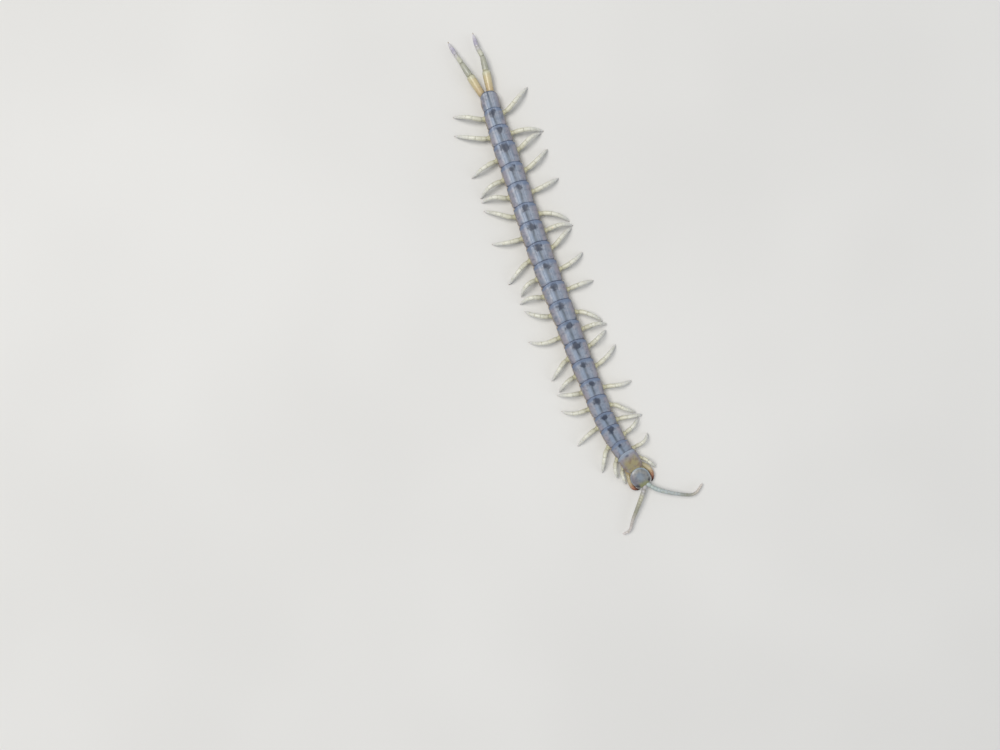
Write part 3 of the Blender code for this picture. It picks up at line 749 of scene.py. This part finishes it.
def skin_points(place, angle, out=0.0):
    """The skin at an angle from the animal's left side up over the back, lifted out a little."""
    place, angle = np.broadcast_arrays(place, angle)
    within = place - np.floor(place)
    cosine, sine = np.cos(angle), np.sin(angle)
    half = between(HALF_WIDTHS, place) * 0.975
    top = between(TOP_HEIGHTS, place) - SIDE_HEIGHT - 0.1
    fall = SIDE_HEIGHT - between(BELLY_HEIGHTS, place) - 0.015
    side = half * np.sign(cosine) * np.abs(cosine) ** 0.75
    height = np.where(sine > 0, top, fall) * np.sign(sine) * np.abs(sine) ** 0.85
    fold = 1 - 0.08 * bell(within, 0, 0.06) - 0.08 * bell(within, 1, 0.06)
    lateral = bell(np.abs(cosine), 1, 0.2)
    pad = 1 + 0.02 * bell(within, 0.5, 0.28) * lateral
    pad = pad - 0.03 * (bell(within, 0.22, 0.025) + bell(within, 0.78, 0.025)) * lateral
    crease = 1 - 0.02 * bell(np.degrees(np.arcsin(np.clip(sine, -1, 1))), 9, 2.5)
    closing = np.where(place < 0, 1 - 0.25 * (place / 0.17) ** 2, 1)
    tail = np.clip((place - SEGMENTS + 0.15) / 0.18, 0, 1)
    closing = closing * (1 - 0.3 * tail ** 3)
    side = side * fold * pad * crease * closing + out * cosine
    height = height * (1 - (1 - fold) * 0.6) * closing + out * sine
    return on_body(place, side, SIDE_HEIGHT + height)


def trunk_skin(mesh):
    """Sides, belly and the skin under the plates, folded at each joint."""
    rings, corners = 18, 120
    places = np.concatenate([number + np.arange(rings) / rings for number in range(SEGMENTS)])
    places = np.concatenate(([-0.17, -0.1, -0.04], places, [SEGMENTS, SEGMENTS + 0.03]))[:, None]
    angle = ring_angles(corners)
    mesh.add_rings(skin_points(places, angle), combine(places % 1, np.sin(angle), places / SEGMENTS))


def side_patch(mesh, place, degrees, half_length, half_height, thick):
    """Small domed plate on the skin of a side, as a flat ellipse."""
    number = int(min(place, SEGMENTS - 1))
    rings, corners = 6, 20
    reach = np.linspace(0.05, 1, rings)[:, None]
    turn = ring_angles(corners)
    along = place + reach * np.cos(turn) * half_length / SEGMENT_LENGTHS[number]
    rise = half_height / 0.9 * reach * np.sin(turn) * (1 + 0.25 * np.cos(turn))
    out = thick * (1 - reach ** 4) - PATCH_SINK
    upward = 1 if abs(degrees) < 90 else -1
    points = skin_points(along, math.radians(degrees) + upward * rise, out)
    mesh.add_rings(points, combine(reach, rise, out))


SIDE_PATCHES = ((0.13, 14, 0.24, 0.12), (0.37, 20, 0.24, 0.1), (0.63, 18, 0.26, 0.11),
                (0.87, 13, 0.22, 0.12), (0.1, -16, 0.2, 0.13), (0.9, -18, 0.2, 0.13))
SPIRACLE_SEGMENTS = (3, 5, 8, 10, 12, 14, 16, 18, 20)
SPIRACLE_PLACE = 0.25
SPIRACLE_TURN = 7
# Half length, half height and thickness of a breathing hole's rim and of its dark middle
SPIRACLE_RIM = (0.17, 0.12, 0.04)
SPIRACLE_HOLE = (0.11, 0.055, 0.054)


def side_plates(plates, holes):
    """Small side plates of every segment, and the breathing holes of some."""
    for number in range(SEGMENTS):
        for mirrored in (False, True):
            for within, degrees, half_length, half_height in SIDE_PATCHES:
                if number == SEGMENTS - 1 and within > 0.4:
                    continue
                lift, size = DRAW.uniform(-3, 3), DRAW.uniform(0.75, 1.2)
                turn = 180 - degrees - lift if mirrored else degrees + lift
                place = number + within + DRAW.uniform(-0.03, 0.03)
                side_patch(plates, place, turn, half_length * size, half_height / size, PATCH_THICKNESS)
            if number + 1 in SPIRACLE_SEGMENTS:
                turn = 180 - SPIRACLE_TURN if mirrored else SPIRACLE_TURN
                side_patch(plates, number + SPIRACLE_PLACE, turn, *SPIRACLE_RIM)
                side_patch(holes, number + SPIRACLE_PLACE, turn, *SPIRACLE_HOLE)


# Legs


def leg_root(side, number):
    """Middle of the coxa's end face, its direction, and the body's outward and forward directions."""
    swing = POSES[side][number - 1][0]
    slide = between(LEG_SLIDES[side], number) + SWING_SLIDE * math.sin(math.radians(swing))
    place = number - 0.5 - slide / SEGMENT_LENGTHS[number - 1]
    ahead, left = directions(between(BODY_HEADINGS, place))
    out = left * side
    direction = turned(out, ahead, between(COXA_TURNS, number) * swing)
    edge = on_body(place, side * between(HALF_WIDTHS, place), COXA_HEIGHT)
    return edge + direction * COXA_REACH, direction, out, ahead


def leg_path(side, number):
    """Centre line of a leg from its root on the coxa to the tip, as in the solids."""
    root_swing, tip_swing, share = POSES[side][number - 1]
    end, direction, out, ahead = leg_root(side, number)
    usual = between(LEG_REACHES, number)
    reach = usual * share - COXA_REACH - GAP
    knee = COXA_HEIGHT + KNEE_RISE + KNEE_FOLD * max(usual - usual * share, 0)
    swings = ((0, between(COXA_TURNS, number) * root_swing), (ROOT_TURN_PLACE, root_swing), (1, tip_swing))

    def rise(place):
        if place < KNEE_PLACE:
            return COXA_HEIGHT + (knee - COXA_HEIGHT) * math.sin(math.pi / 2 * place / KNEE_PLACE)
        fall = math.cos(math.pi / 2 * (place - KNEE_PLACE) / (1 - KNEE_PLACE))
        return knee * max(fall, 0) ** SHIN_DROP

    return walk(end + direction * GAP, out, ahead, swings, reach, LEG_STEPS, rise), end, direction


def read_path(path, places):
    steps = np.linspace(0, 1, len(path))
    return combine(*(np.interp(places, steps, column) for column in path.T))


def setae(mesh, spots, radii, ahead, across, up, count, size):
    """Sparse fine hairs that lean toward the tip of a limb."""
    for _ in range(count):
        place = DRAW.uniform(0.5, len(spots) - 1.5)
        low = int(place)
        share = place - low
        spot = spots[low] * (1 - share) + spots[low + 1] * share
        radius = radii[low] * (1 - share) + radii[low + 1] * share
        turn = DRAW.uniform(0, 2 * np.pi)
        away = across[low] * math.cos(turn) + up[low] * math.sin(turn)
        bristle(mesh, spot + away * radius * 0.97, away * 0.8 + ahead[low], DRAW.uniform(0.6, 1.2) * size,
                0.06 * size, share)


ARTICLE_SHARES = np.array((0.0, 0.035, 0.1, 0.25, 0.5, 0.75, 0.9, 0.965, 1.0))
ARTICLE_SWELL = np.array((0.8, 0.93, 0.97, 0.99, 1.0, 1.03, 1.05, 1.0, 0.82))


def to_joint(shares):
    """Share of an article from a place in it to its nearest joint."""
    return np.minimum(shares, 1 - shares).clip(0, 1)


def walking_leg(legs, claws, hairs, side, number):
    """Coxa, trochanter, five articles and a claw with two small spurs."""
    path, end, direction = leg_path(side, number)
    size = between(LEG_THICKNESSES, number) * LEG_FULLNESS
    roots = np.array((-0.7, -0.35, -0.12, -0.03, 0.02, 0.07, 0.16, 0.22, 0.26))
    radii = np.array((0.33, 0.37, 0.36, 0.33, 0.25, 0.27, 0.29, 0.27, 0.22)) * size
    tube(legs, end + direction * roots[:, None], radii, 20, np.linspace(-0.12, -0.01, len(roots)))
    joints = (-0.01,) + LEG_JOINTS
    for article, (low, high) in enumerate(zip(joints[1:], joints[2:])):
        places = low + (high - low) * ARTICLE_SHARES
        spots = read_path(path, places)
        if article == 0:
            spots[0] = end + direction * (GAP - 0.06)
        radii = between(LEG_RADII, places) * size * ARTICLE_SWELL
        frames = tube(legs, spots, radii, 18, places, to_joint(ARTICLE_SHARES))
        setae(hairs, spots, radii, *frames, *LEG_HAIRS)
        if article in (2, 3):
            bristle(claws, spots[-2] - frames[2][-2] * radii[-2] * 0.9, frames[0][-2] - frames[2][-2] * 0.5,
                    0.13, 0.022, 0.7)
    share = np.linspace(0, 1, 10)
    spots = read_path(path, CLAW_START + CLAW_SHARE * share)
    spots[:, 2] = np.maximum(spots[:, 2], CLAW_CLEARANCE)
    ahead = spots[1] - spots[0]
    ahead /= np.linalg.norm(ahead)
    across = np.cross((0, 0, 1), ahead)
    tube(claws, spots, between(CLAW_RADII, share) * size, 10, share)
    for turn in (LEFT, RIGHT):
        bristle(claws, spots[2] + across * 0.03 * turn, ahead + across * 0.4 * turn, 0.13, 0.018, 0.8)


def ultimate_leg(mesh, claws, spines, hairs, side):
    """Long last leg of five articles; the first widens toward its end and bears spines."""
    ahead, _ = directions(between(BODY_HEADINGS, SEGMENTS))
    spot = on_body(SEGMENTS, side * ULTIMATE_OFFSETS[side], 0.0) - ahead * (GAP / 2)
    for article, length in enumerate(ULTIMATE_LENGTHS):
        turn = math.radians(ULTIMATE_HEADINGS[side][article])
        direction = np.array((math.sin(turn), math.cos(turn), 0))
        low, high = ULTIMATE_HEIGHTS[article:article + 2]
        shares, swell = ARTICLE_SHARES, np.array(ULTIMATE_SWELL)
        if article == 0:
            shares, swell = np.array(PREFEMUR_PROFILE).T
        if article == len(ULTIMATE_LENGTHS) - 1:
            shares = shares * ULTIMATE_END
        points = spot + direction * (length * shares)[:, None]
        points[:, 2] = low + (high - low) * shares
        start, end = ULTIMATE_RADII[article:article + 2]
        radii = (start + (end - start) * shares) * swell
        place = (article + shares) / len(ULTIMATE_LENGTHS)
        frames = tube(mesh, points, radii, 28, place, to_joint(shares))
        setae(hairs, points, radii, *frames, *ULTIMATE_HAIRS)
        if article == 0:
            prefemur_spines(spines, points, radii, frames, direction, side)
        spot = spot + direction * length
    share = np.linspace(0, 1, 10)
    hook = points[-2] + direction * (share * length * 0.3)[:, None]
    hook[:, 2] -= 0.1 * share ** 2
    tube(claws, hook, np.interp(share, (0, 0.5, 1), (0.1, 0.06, 0.008)), 12, share)


def prefemur_spines(spines, points, radii, frames, direction, side):
    """Three rows of small spines inside and below, and a forked process at the inner end."""
    _, across, up = frames
    inner = inward(across[4], directions(0)[1], side)
    for row, (lean, first) in enumerate(((0.35, 0.3), (-0.55, 0.2), (-1.1, 0.42))):
        for count in range(3 - (row == 0)):
            place = (first + 0.24 * count) * (len(points) - 1)
            low = int(place)
            away = inner * math.cos(lean) + up[low] * math.sin(lean)
            root = points[low] + (points[low + 1] - points[low]) * (place - low) + away * radii[low] * 0.96
            bristle(spines, root, away + direction * 0.5, 0.13, 0.045, 0.5)
    away = inner * 0.85 + up[-2] * 0.3
    for spread in (0.0, 0.45):
        bristle(spines, points[-2] + away * radii[-2] * 0.85, direction + away * spread, 0.24, 0.06, 0.5)


def tail_end(pads, spines):
    """Pads beside the last segment, each drawn out to a pointed process, and the end of the gut."""
    for side in (LEFT, RIGHT):
        share = np.linspace(0, 1, 24)
        spots = on_body(20.1 + 1.14 * share, side * (0.98 - 0.5 * share ** 2), 0.98 - 0.26 * share ** 1.5)
        radii = np.interp(share, (0, 0.08, 0.3, 0.6, 0.76, 0.88, 1), (0.2, 0.36, 0.45, 0.42, 0.3, 0.16, 0.05))
        tube(pads, spots, radii, 24, share)
        for lean in (-0.4, 0.4):
            away = spots[-1] - spots[-3] + np.array((lean, 0, 0.1)) * 0.1
            bristle(spines, spots[-2], away, 0.14, 0.035, 0.5)
    share = np.linspace(0, 1, 10)
    spots = on_body(20.8 + 0.28 * share, 0.0, 1.1 - 0.1 * share)
    tube(pads, spots, np.interp(share, (0, 0.5, 0.85, 1), (0.3, 0.34, 0.24, 0.1)), 20, share)


# Head


def shield_height(forward, sideways):
    """Top of the head shield; its rim rises behind to lie over the first back plate."""
    reach = np.hypot(forward / np.where(forward > 0, SHIELD_FRONT, SHIELD_REAR), sideways / HEAD_HALF_WIDTH)
    reach = np.minimum(reach, 1)
    ahead = forward / np.maximum(np.hypot(forward, sideways), 1e-6)
    rim = np.interp(ahead, (-1, -0.55, 0.1, 1), (1.92, 1.74, 1.52, 1.48))
    return rim + (HEAD_TOP + 0.04 - rim) * (1 - reach ** 2.4) ** 0.62, reach


def head_shield(mesh):
    """Round shield with two short sutures behind, a rimmed edge and scallops over the feelers."""
    rings, corners = 34, 120
    r = np.linspace(0.015, 1, rings)[:, None]
    a = ring_angles(corners)
    r, a = np.broadcast_arrays(r, a)
    forward = np.where(np.cos(a) > 0, SHIELD_FRONT, SHIELD_REAR) * r * np.cos(a)
    sideways = HEAD_HALF_WIDTH * r * np.sin(a)
    height, reach = shield_height(forward, sideways)
    front = np.cos(a) > 0
    notch = bell(sideways, 0.05, 0.09) * 0.09 + bell(sideways, 0.52, 0.24) * 0.05
    notch = (notch + bell(sideways, -0.38, 0.22) * 0.05) * front * r ** 8
    behind = step(-forward, 0.35, 0.7) * step(r, 0.99, 0.93)
    relief = -0.024 * bell(np.abs(sideways), 0.36 + 0.1 * (-forward - 0.4), 0.03) * behind
    relief -= 0.012 * bell(sideways, 0, 0.06) * step(forward, 0.2, 0.9)
    relief += 0.018 * bell(r, 0.955, 0.025) - 0.016 * bell(r, 0.9, 0.025) - 0.04 * step(r, 0.97, 1)
    relief += 0.012 * bell(np.hypot(forward - 0.3, np.abs(sideways) - 0.6), 0, 0.35)
    top = on_head(forward - notch, sideways, height + relief)
    under = on_head((forward - notch) * 0.98, sideways * 0.98, height + relief - 0.07)
    marks = combine(forward / SHIELD_FRONT, sideways / HEAD_HALF_WIDTH, reach)
    both = np.concatenate((top, under[::-1]))
    mesh.add_rings(both, np.concatenate((marks, marks[::-1])))


def shell(mesh, stations, rings, centre_height):
    """Closed body along the head's axis from (forward, half width, top, underside) stations."""
    stations = np.array(stations, float)
    places = np.linspace(0, len(stations) - 1, 6 * len(stations))
    table = np.stack([np.interp(places, np.arange(len(stations)), column) for column in stations.T], 1)
    for _ in range(6):
        table[1:-1] = table[1:-1] / 2 + (table[:-2] + table[2:]) / 4
    forward, half, top, under = table.T[:, :, None]
    angle = ring_angles(rings)
    cosine, sine = np.cos(angle), np.sin(angle)
    side = half * np.sign(cosine) * np.abs(cosine) ** 0.6
    reach = np.where(sine > 0, top - centre_height, centre_height - under)
    height = centre_height + reach * np.sign(sine) * np.abs(sine) ** 0.6
    mesh.add_rings(on_head(forward, side, height), combine(forward, sine, side))


def head_below(capsule, collar, spines):
    """Head under the shield, the broad plate that bears the poison claws, and its teeth."""
    shell(capsule, ((-1.35, 0.95, 1.7, 1.1), (-1.0, 1.26, 1.72, 1.02), (-0.4, 1.38, 1.66, 0.99),
                    (0.3, 1.37, 1.6, 0.99), (0.8, 1.2, 1.54, 1.02), (1.2, 0.93, 1.5, 1.06),
                    (1.45, 0.62, 1.46, 1.12), (1.58, 0.3, 1.42, 1.22)), 64, 1.36)
    shell(collar, ((-2.15, 1.0, 1.5, 0.55), (-1.95, 1.28, 1.56, 0.48), (-1.65, 1.36, 1.6, 0.46),
                   (-1.35, 1.33, 1.62, 0.47), (-1.1, 1.1, 1.5, 0.5), (-0.95, 0.7, 1.3, 0.6)), 56, 1.0)
    shell(collar, ((-1.5, 1.0, 0.94, 0.45), (-1.1, 0.84, 0.94, 0.44), (-0.8, 0.7, 0.92, 0.46),
                   (-0.4, 0.55, 0.9, 0.5), (-0.14, 0.42, 0.86, 0.56), (-0.08, 0.2, 0.8, 0.62)), 40, 0.7)
    for side in (LEFT, RIGHT):
        plate = np.array([on_head(forward, side * 0.2, TEETH_HEIGHT) for forward in (-0.2, -0.05, 0.04)])
        tube(collar, plate, np.array((0.15, 0.15, 0.1)), 14, np.linspace(0.2, 0.4, 3))
        for count in range(4):
            root = on_head(0.03, side * (0.09 + 0.075 * count), TEETH_HEIGHT)
            bristle(spines, root, HEAD_AHEAD + HEAD_LEFT * side * 0.15 * (count - 1), 0.09, 0.035)


def mouthparts(mesh, hairs, spines):
    """Upper lip, jaws, first jaw-feet and the pair of small feeding legs under the head."""
    shell(mesh, ((0.9, 0.5, 1.1, 0.96), (1.1, 0.44, 1.12, 0.98), (1.3, 0.3, 1.16, 1.04)), 30, 1.06)
    for side in (LEFT, RIGHT):
        for forward, sideways, height, radius, stretch in (
                (0.55, 0.52, 1.0, 0.3, (0.8, 1.1, 0.5)), (0.25, 0.22, 0.95, 0.2, (0.8, 1.2, 0.6)),
                (0.42, 0.4, 0.93, 0.17, (0.8, 1.3, 0.6))):
            ball(mesh, on_head(forward, side * sideways, height), radius, 0.5, stretch)
        share = np.linspace(0, 1, 25)
        forward = -0.35 + 1.25 * share - 0.1 * share ** 2
        spots = on_head(forward, side * (0.72 - 0.42 * share ** 1.6), 0.94 - 0.08 * np.sin(np.pi * share))
        for low, high in ((0, 9), (8, 17), (16, 25)):
            part = slice(low, high)
            places = np.linspace(0, 1, high - low)
            swell = np.interp(places, (0, 0.08, 0.5, 0.92, 1), (0.75, 0.95, 1.05, 0.98, 0.7))
            radii = np.interp(share[part], (0, 1), (0.13, 0.09)) * swell
            frames = tube(mesh, spots[part], radii, 16, share[part])
            setae(hairs, spots[part], radii, *frames, *JAW_HAIRS)
        bristle(spines, spots[-1], spots[-1] - spots[-3], 0.12, 0.03)


def ball(mesh, centre, radius, mark=0.0, stretch=(1, 1, 1)):
    """Round body, stretched along the axes."""
    rings, corners = 11, 18
    tilt = np.linspace(0.08, np.pi - 0.08, rings)[:, None]
    turn = ring_angles(corners)
    points = combine(np.sin(tilt) * np.cos(turn), np.sin(tilt) * np.sin(turn), np.cos(tilt))
    points = centre + points * radius * np.array(stretch)
    mesh.add_rings(points, np.broadcast_to((mark, 0.0, 0.0), points.shape))


def eyes(mesh):
    """Four simple eyes on each side, half sunk in the shield."""
    for side in (LEFT, RIGHT):
        for forward, sideways in OCELLI:
            height, _ = shield_height(np.array(forward), np.array(sideways))
            ball(mesh, on_head(forward, sideways * side, height - OCELLUS_SINK), OCELLUS_RADIUS)


def antenna_path(side):
    """Centre line of a feeler, with its root and its direction there."""
    bends = ANTENNA_BENDS[side]
    ahead, left = directions(0)
    direction = turned(ahead, left * side, bends[0][1])
    root = on_head(SOCKET_FORWARD, SOCKET_OFFSETS[side] * side, SOCKET_HEIGHT)
    path = walk(root + direction * GAP, ahead, left * side, bends, ANTENNA_LENGTHS[side],
                4 * ANTENNA_ARTICLES, lambda place: between(ANTENNA_HEIGHTS, place))
    return path, root, direction


ANTENNA_SHARES = np.array((-0.03, 0.05, 0.14, 0.35, 0.65, 0.86, 0.96, 1.0))
ANTENNA_SWELL = np.array((0.78, 0.93, 0.98, 1.01, 1.02, 1.0, 0.93, 0.8))
ANTENNA_LAST = np.array((0.78, 0.93, 0.98, 1.0, 0.92, 0.72, 0.45, 0.15))


def antenna(mesh, hairs, side):
    """Feeler of seventeen articles; all but the first few are finely haired."""
    path, root, direction = antenna_path(side)
    base = root + direction * np.array((-0.5, -0.2, 0, 0.1, 0.16))[:, None]
    tube(mesh, base, np.array((0.3, 0.33, 0.33, 0.3, 0.24)), 20, np.full(5, 0.0))
    for number in range(ANTENNA_ARTICLES):
        low = number / ANTENNA_ARTICLES
        places = low + ANTENNA_SHARES / ANTENNA_ARTICLES
        spots = read_path(path, np.clip(places, 0, 1))
        if number == 0:
            spots[0] = root + direction * 0.12
        swell = ANTENNA_LAST if number == ANTENNA_ARTICLES - 1 else ANTENNA_SWELL
        radii = between(ANTENNA_RADII, places) * swell
        frames = tube(mesh, spots, radii, 22, places, to_joint(ANTENNA_SHARES))
        if number > 2:
            setae(hairs, spots, radii, *frames, *ANTENNA_HAIRS)


def forcipule(mesh, fangs, side):
    """Poison claw: swollen base, two short rings and a long curved fang."""
    forward, sideways = FORCIPULE_BASES[side]
    bends, aside = FORCIPULE_BENDS[side], HEAD_LEFT * side
    direction = turned(HEAD_AHEAD, aside, bends[0][1])
    start = on_head(forward, sideways * side, FORCIPULE_HEIGHT)
    fall = FORCIPULE_TIP_HEIGHT - FORCIPULE_HEIGHT
    path = walk(start + direction * GAP, HEAD_AHEAD, aside, bends, FORCIPULE_LENGTH, FORCIPULE_STEPS,
                lambda place: FORCIPULE_HEIGHT + fall * place ** 2)
    root = start + direction * np.array((-0.5, -0.42, -0.25, 0.0, 0.2))[:, None]
    places = np.concatenate((np.linspace(0, 0.46, 16), (0.475, 0.485)))
    spots = np.concatenate((root, read_path(path, places)))
    radii = np.concatenate(((0.08, 0.22, 0.31, 0.35, 0.355), between(FORCIPULE_RADII, places)))
    radii[-2:] *= (0.93, 0.78)
    marks = np.concatenate((np.zeros(len(root)), places))
    ahead, across, _ = tube(mesh, spots, radii * 1.02, 30, marks)
    tooth = inward(across[12], HEAD_LEFT, side)
    bristle(fangs, spots[13] + tooth * radii[13] * 0.85, tooth + ahead[13] * 0.5, 0.2, 0.09, 0.9)
    for low, high in ((0.48, 0.54), (0.54, 0.605)):
        shares = np.array((0, 0.1, 0.35, 0.7, 0.92, 1))
        places = low + (high - low) * shares
        radii = between(FORCIPULE_RADII, places) * np.array((0.82, 0.98, 1.04, 1.04, 0.96, 0.8))
        tube(mesh, read_path(path, places), radii, 26, places, to_joint(shares))
    places = np.concatenate(((0.6, 0.61, 0.63), np.linspace(0.66, 1, 24)))
    radii = between(FORCIPULE_RADII, places)
    radii[:2] *= (0.8, 0.95)
    tube(fangs, read_path(path, places), radii, 24, places)


# Pieces


def build_trunk(tones):
    skin = Mesh()
    trunk_skin(skin)
    skin.build("trunk_skin", tones["soft_skin"], "back_plate",
               ["trunk_%d" % node for node in range(1, 8)] + ["forcipular_segment"])
    first = Mesh()
    back_plate(first, 0)
    first.build("back_plate_01", first_plate_material(), "back_plate")
    patterned = plate_material()
    for start in range(1, SEGMENTS, 4):
        plates = Mesh()
        for number in range(start, start + 4):
            back_plate(plates, number)
        plates.build("back_plates_%02d_%02d" % (start + 1, start + 4), patterned, "back_plate")
    belly, sides, holes = (Mesh() for _ in range(3))
    for number in range(SEGMENTS):
        belly_plate(belly, number)
    side_plates(sides, holes)
    belly.build("belly_plates", tones["belly_plate"], "leg")
    sides.build("side_plates", tones["side_plate"], "hind_leg")
    holes.build("breathing_holes", tones["dark_spine"], "poison_claw")


def build_limbs(tones):
    hairs, claws, spines, pads = (Mesh() for _ in range(4))
    for side, word in SIDES:
        for first in range(1, LEG_COUNT + 1, 5):
            legs = Mesh()
            numbers = range(first, first + 5)
            for number in numbers:
                walking_leg(legs, claws, hairs, side, number)
            legs.build("legs_%s_%02d_%02d" % (word, first, first + 4), tones["leg"], "leg",
                       ["leg_%s_%02d" % (word, number) for number in numbers])
        last, feeler, base, fangs = (Mesh() for _ in range(4))
        ultimate_leg(last, claws, spines, hairs, side)
        last.build("last_leg_" + word, tones["hind_leg"], "hind_leg", ["ultimate_leg_" + word])
        antenna(feeler, hairs, side)
        feeler.build("feeler_" + word, tones[word + "_antenna"], "antenna", ["antenna_" + word])
        forcipule(base, fangs, side)
        base.build("poison_claw_" + word, tones["forcipule"], "poison_claw", ["forcipule_" + word])
        fangs.build("poison_fang_" + word, tones["fang"], "poison_claw", ["forcipule_" + word])
    tail_end(pads, spines)
    pads.build("tail_pads", tones["tail_pad"], "hind_leg")
    mouth, capsule, collar, shield, eye = (Mesh() for _ in range(5))
    mouthparts(mouth, hairs, spines)
    head_below(capsule, collar, spines)
    head_shield(shield)
    eyes(eye)
    shield.build("head_shield", head_material(), "head_plate", ["head"])
    capsule.build("head_capsule", tones["head_soft"], "head_plate", ["head"])
    collar.build("claw_collar", tones["collar"], "poison_claw", ["forcipular_segment"])
    mouth.build("mouthparts", tones["head_soft"], "antenna")
    eye.build("eyes", tones["eye"], "head_plate")
    claws.build("leg_claws", tones["leg_claw"], "leg")
    spines.build("spines_and_teeth", tones["dark_spine"], "poison_claw", smooth=False)
    hairs.build("fine_hairs", tones["hair"], "antenna", smooth=False)


# Floor, light and camera


def make_floor():
    n = Nodes("floor", 0.8)
    n.mix(n.ramp(n.noise(0.02, 2), 0.3, 0.7), (214, 212, 208), (219, 217, 213))
    half = FLOOR_SIZE / 2
    mesh = bpy.data.meshes.new("floor")
    corners = [(-half, -half, 0), (half, -half, 0), (half, half, 0), (-half, half, 0)]
    mesh.from_pydata(corners, [], [(0, 1, 2, 3)])
    mesh.materials.append(n.finish(0.8, 0.05))
    place_object("floor", mesh)


def make_light(name, size, power, place, tint):
    data = bpy.data.lights.new(name, "AREA")
    data.shape = "DISK"
    data.size = size
    data.energy = power
    data.color = tint
    item = place_object(name, data)
    item.location = place
    item.rotation_euler = (-Vector(place)).to_track_quat("-Z", "Y").to_euler()


def make_world():
    world = bpy.data.worlds.new("soft_light")
    bpy.context.scene.world = world
    world.use_nodes = True
    back = world.node_tree.nodes["Background"]
    back.inputs["Color"].default_value = SKY_TINT
    back.inputs["Strength"].default_value = SKY_STRENGTH


def make_camera():
    data = bpy.data.cameras.new("camera")
    data.lens = CAMERA_LENS
    data.sensor_width = CAMERA_SENSOR
    data.clip_start, data.clip_end = CAMERA_CLIP
    item = place_object("camera", data)
    item.location = CAMERA_PLACE
    item.rotation_euler = (0, 0, math.radians(CAMERA_ROLL))
    bpy.context.scene.camera = item


tones = make_materials()
build_trunk(tones)
build_limbs(tones)
make_floor()
make_light("key", KEY_SIZE, KEY_POWER, KEY_PLACE, KEY_TINT)
make_light("fill", FILL_SIZE, FILL_POWER, FILL_PLACE, FILL_TINT)
make_world()
make_camera()
bpy.context.scene.view_settings.view_transform = "Standard"
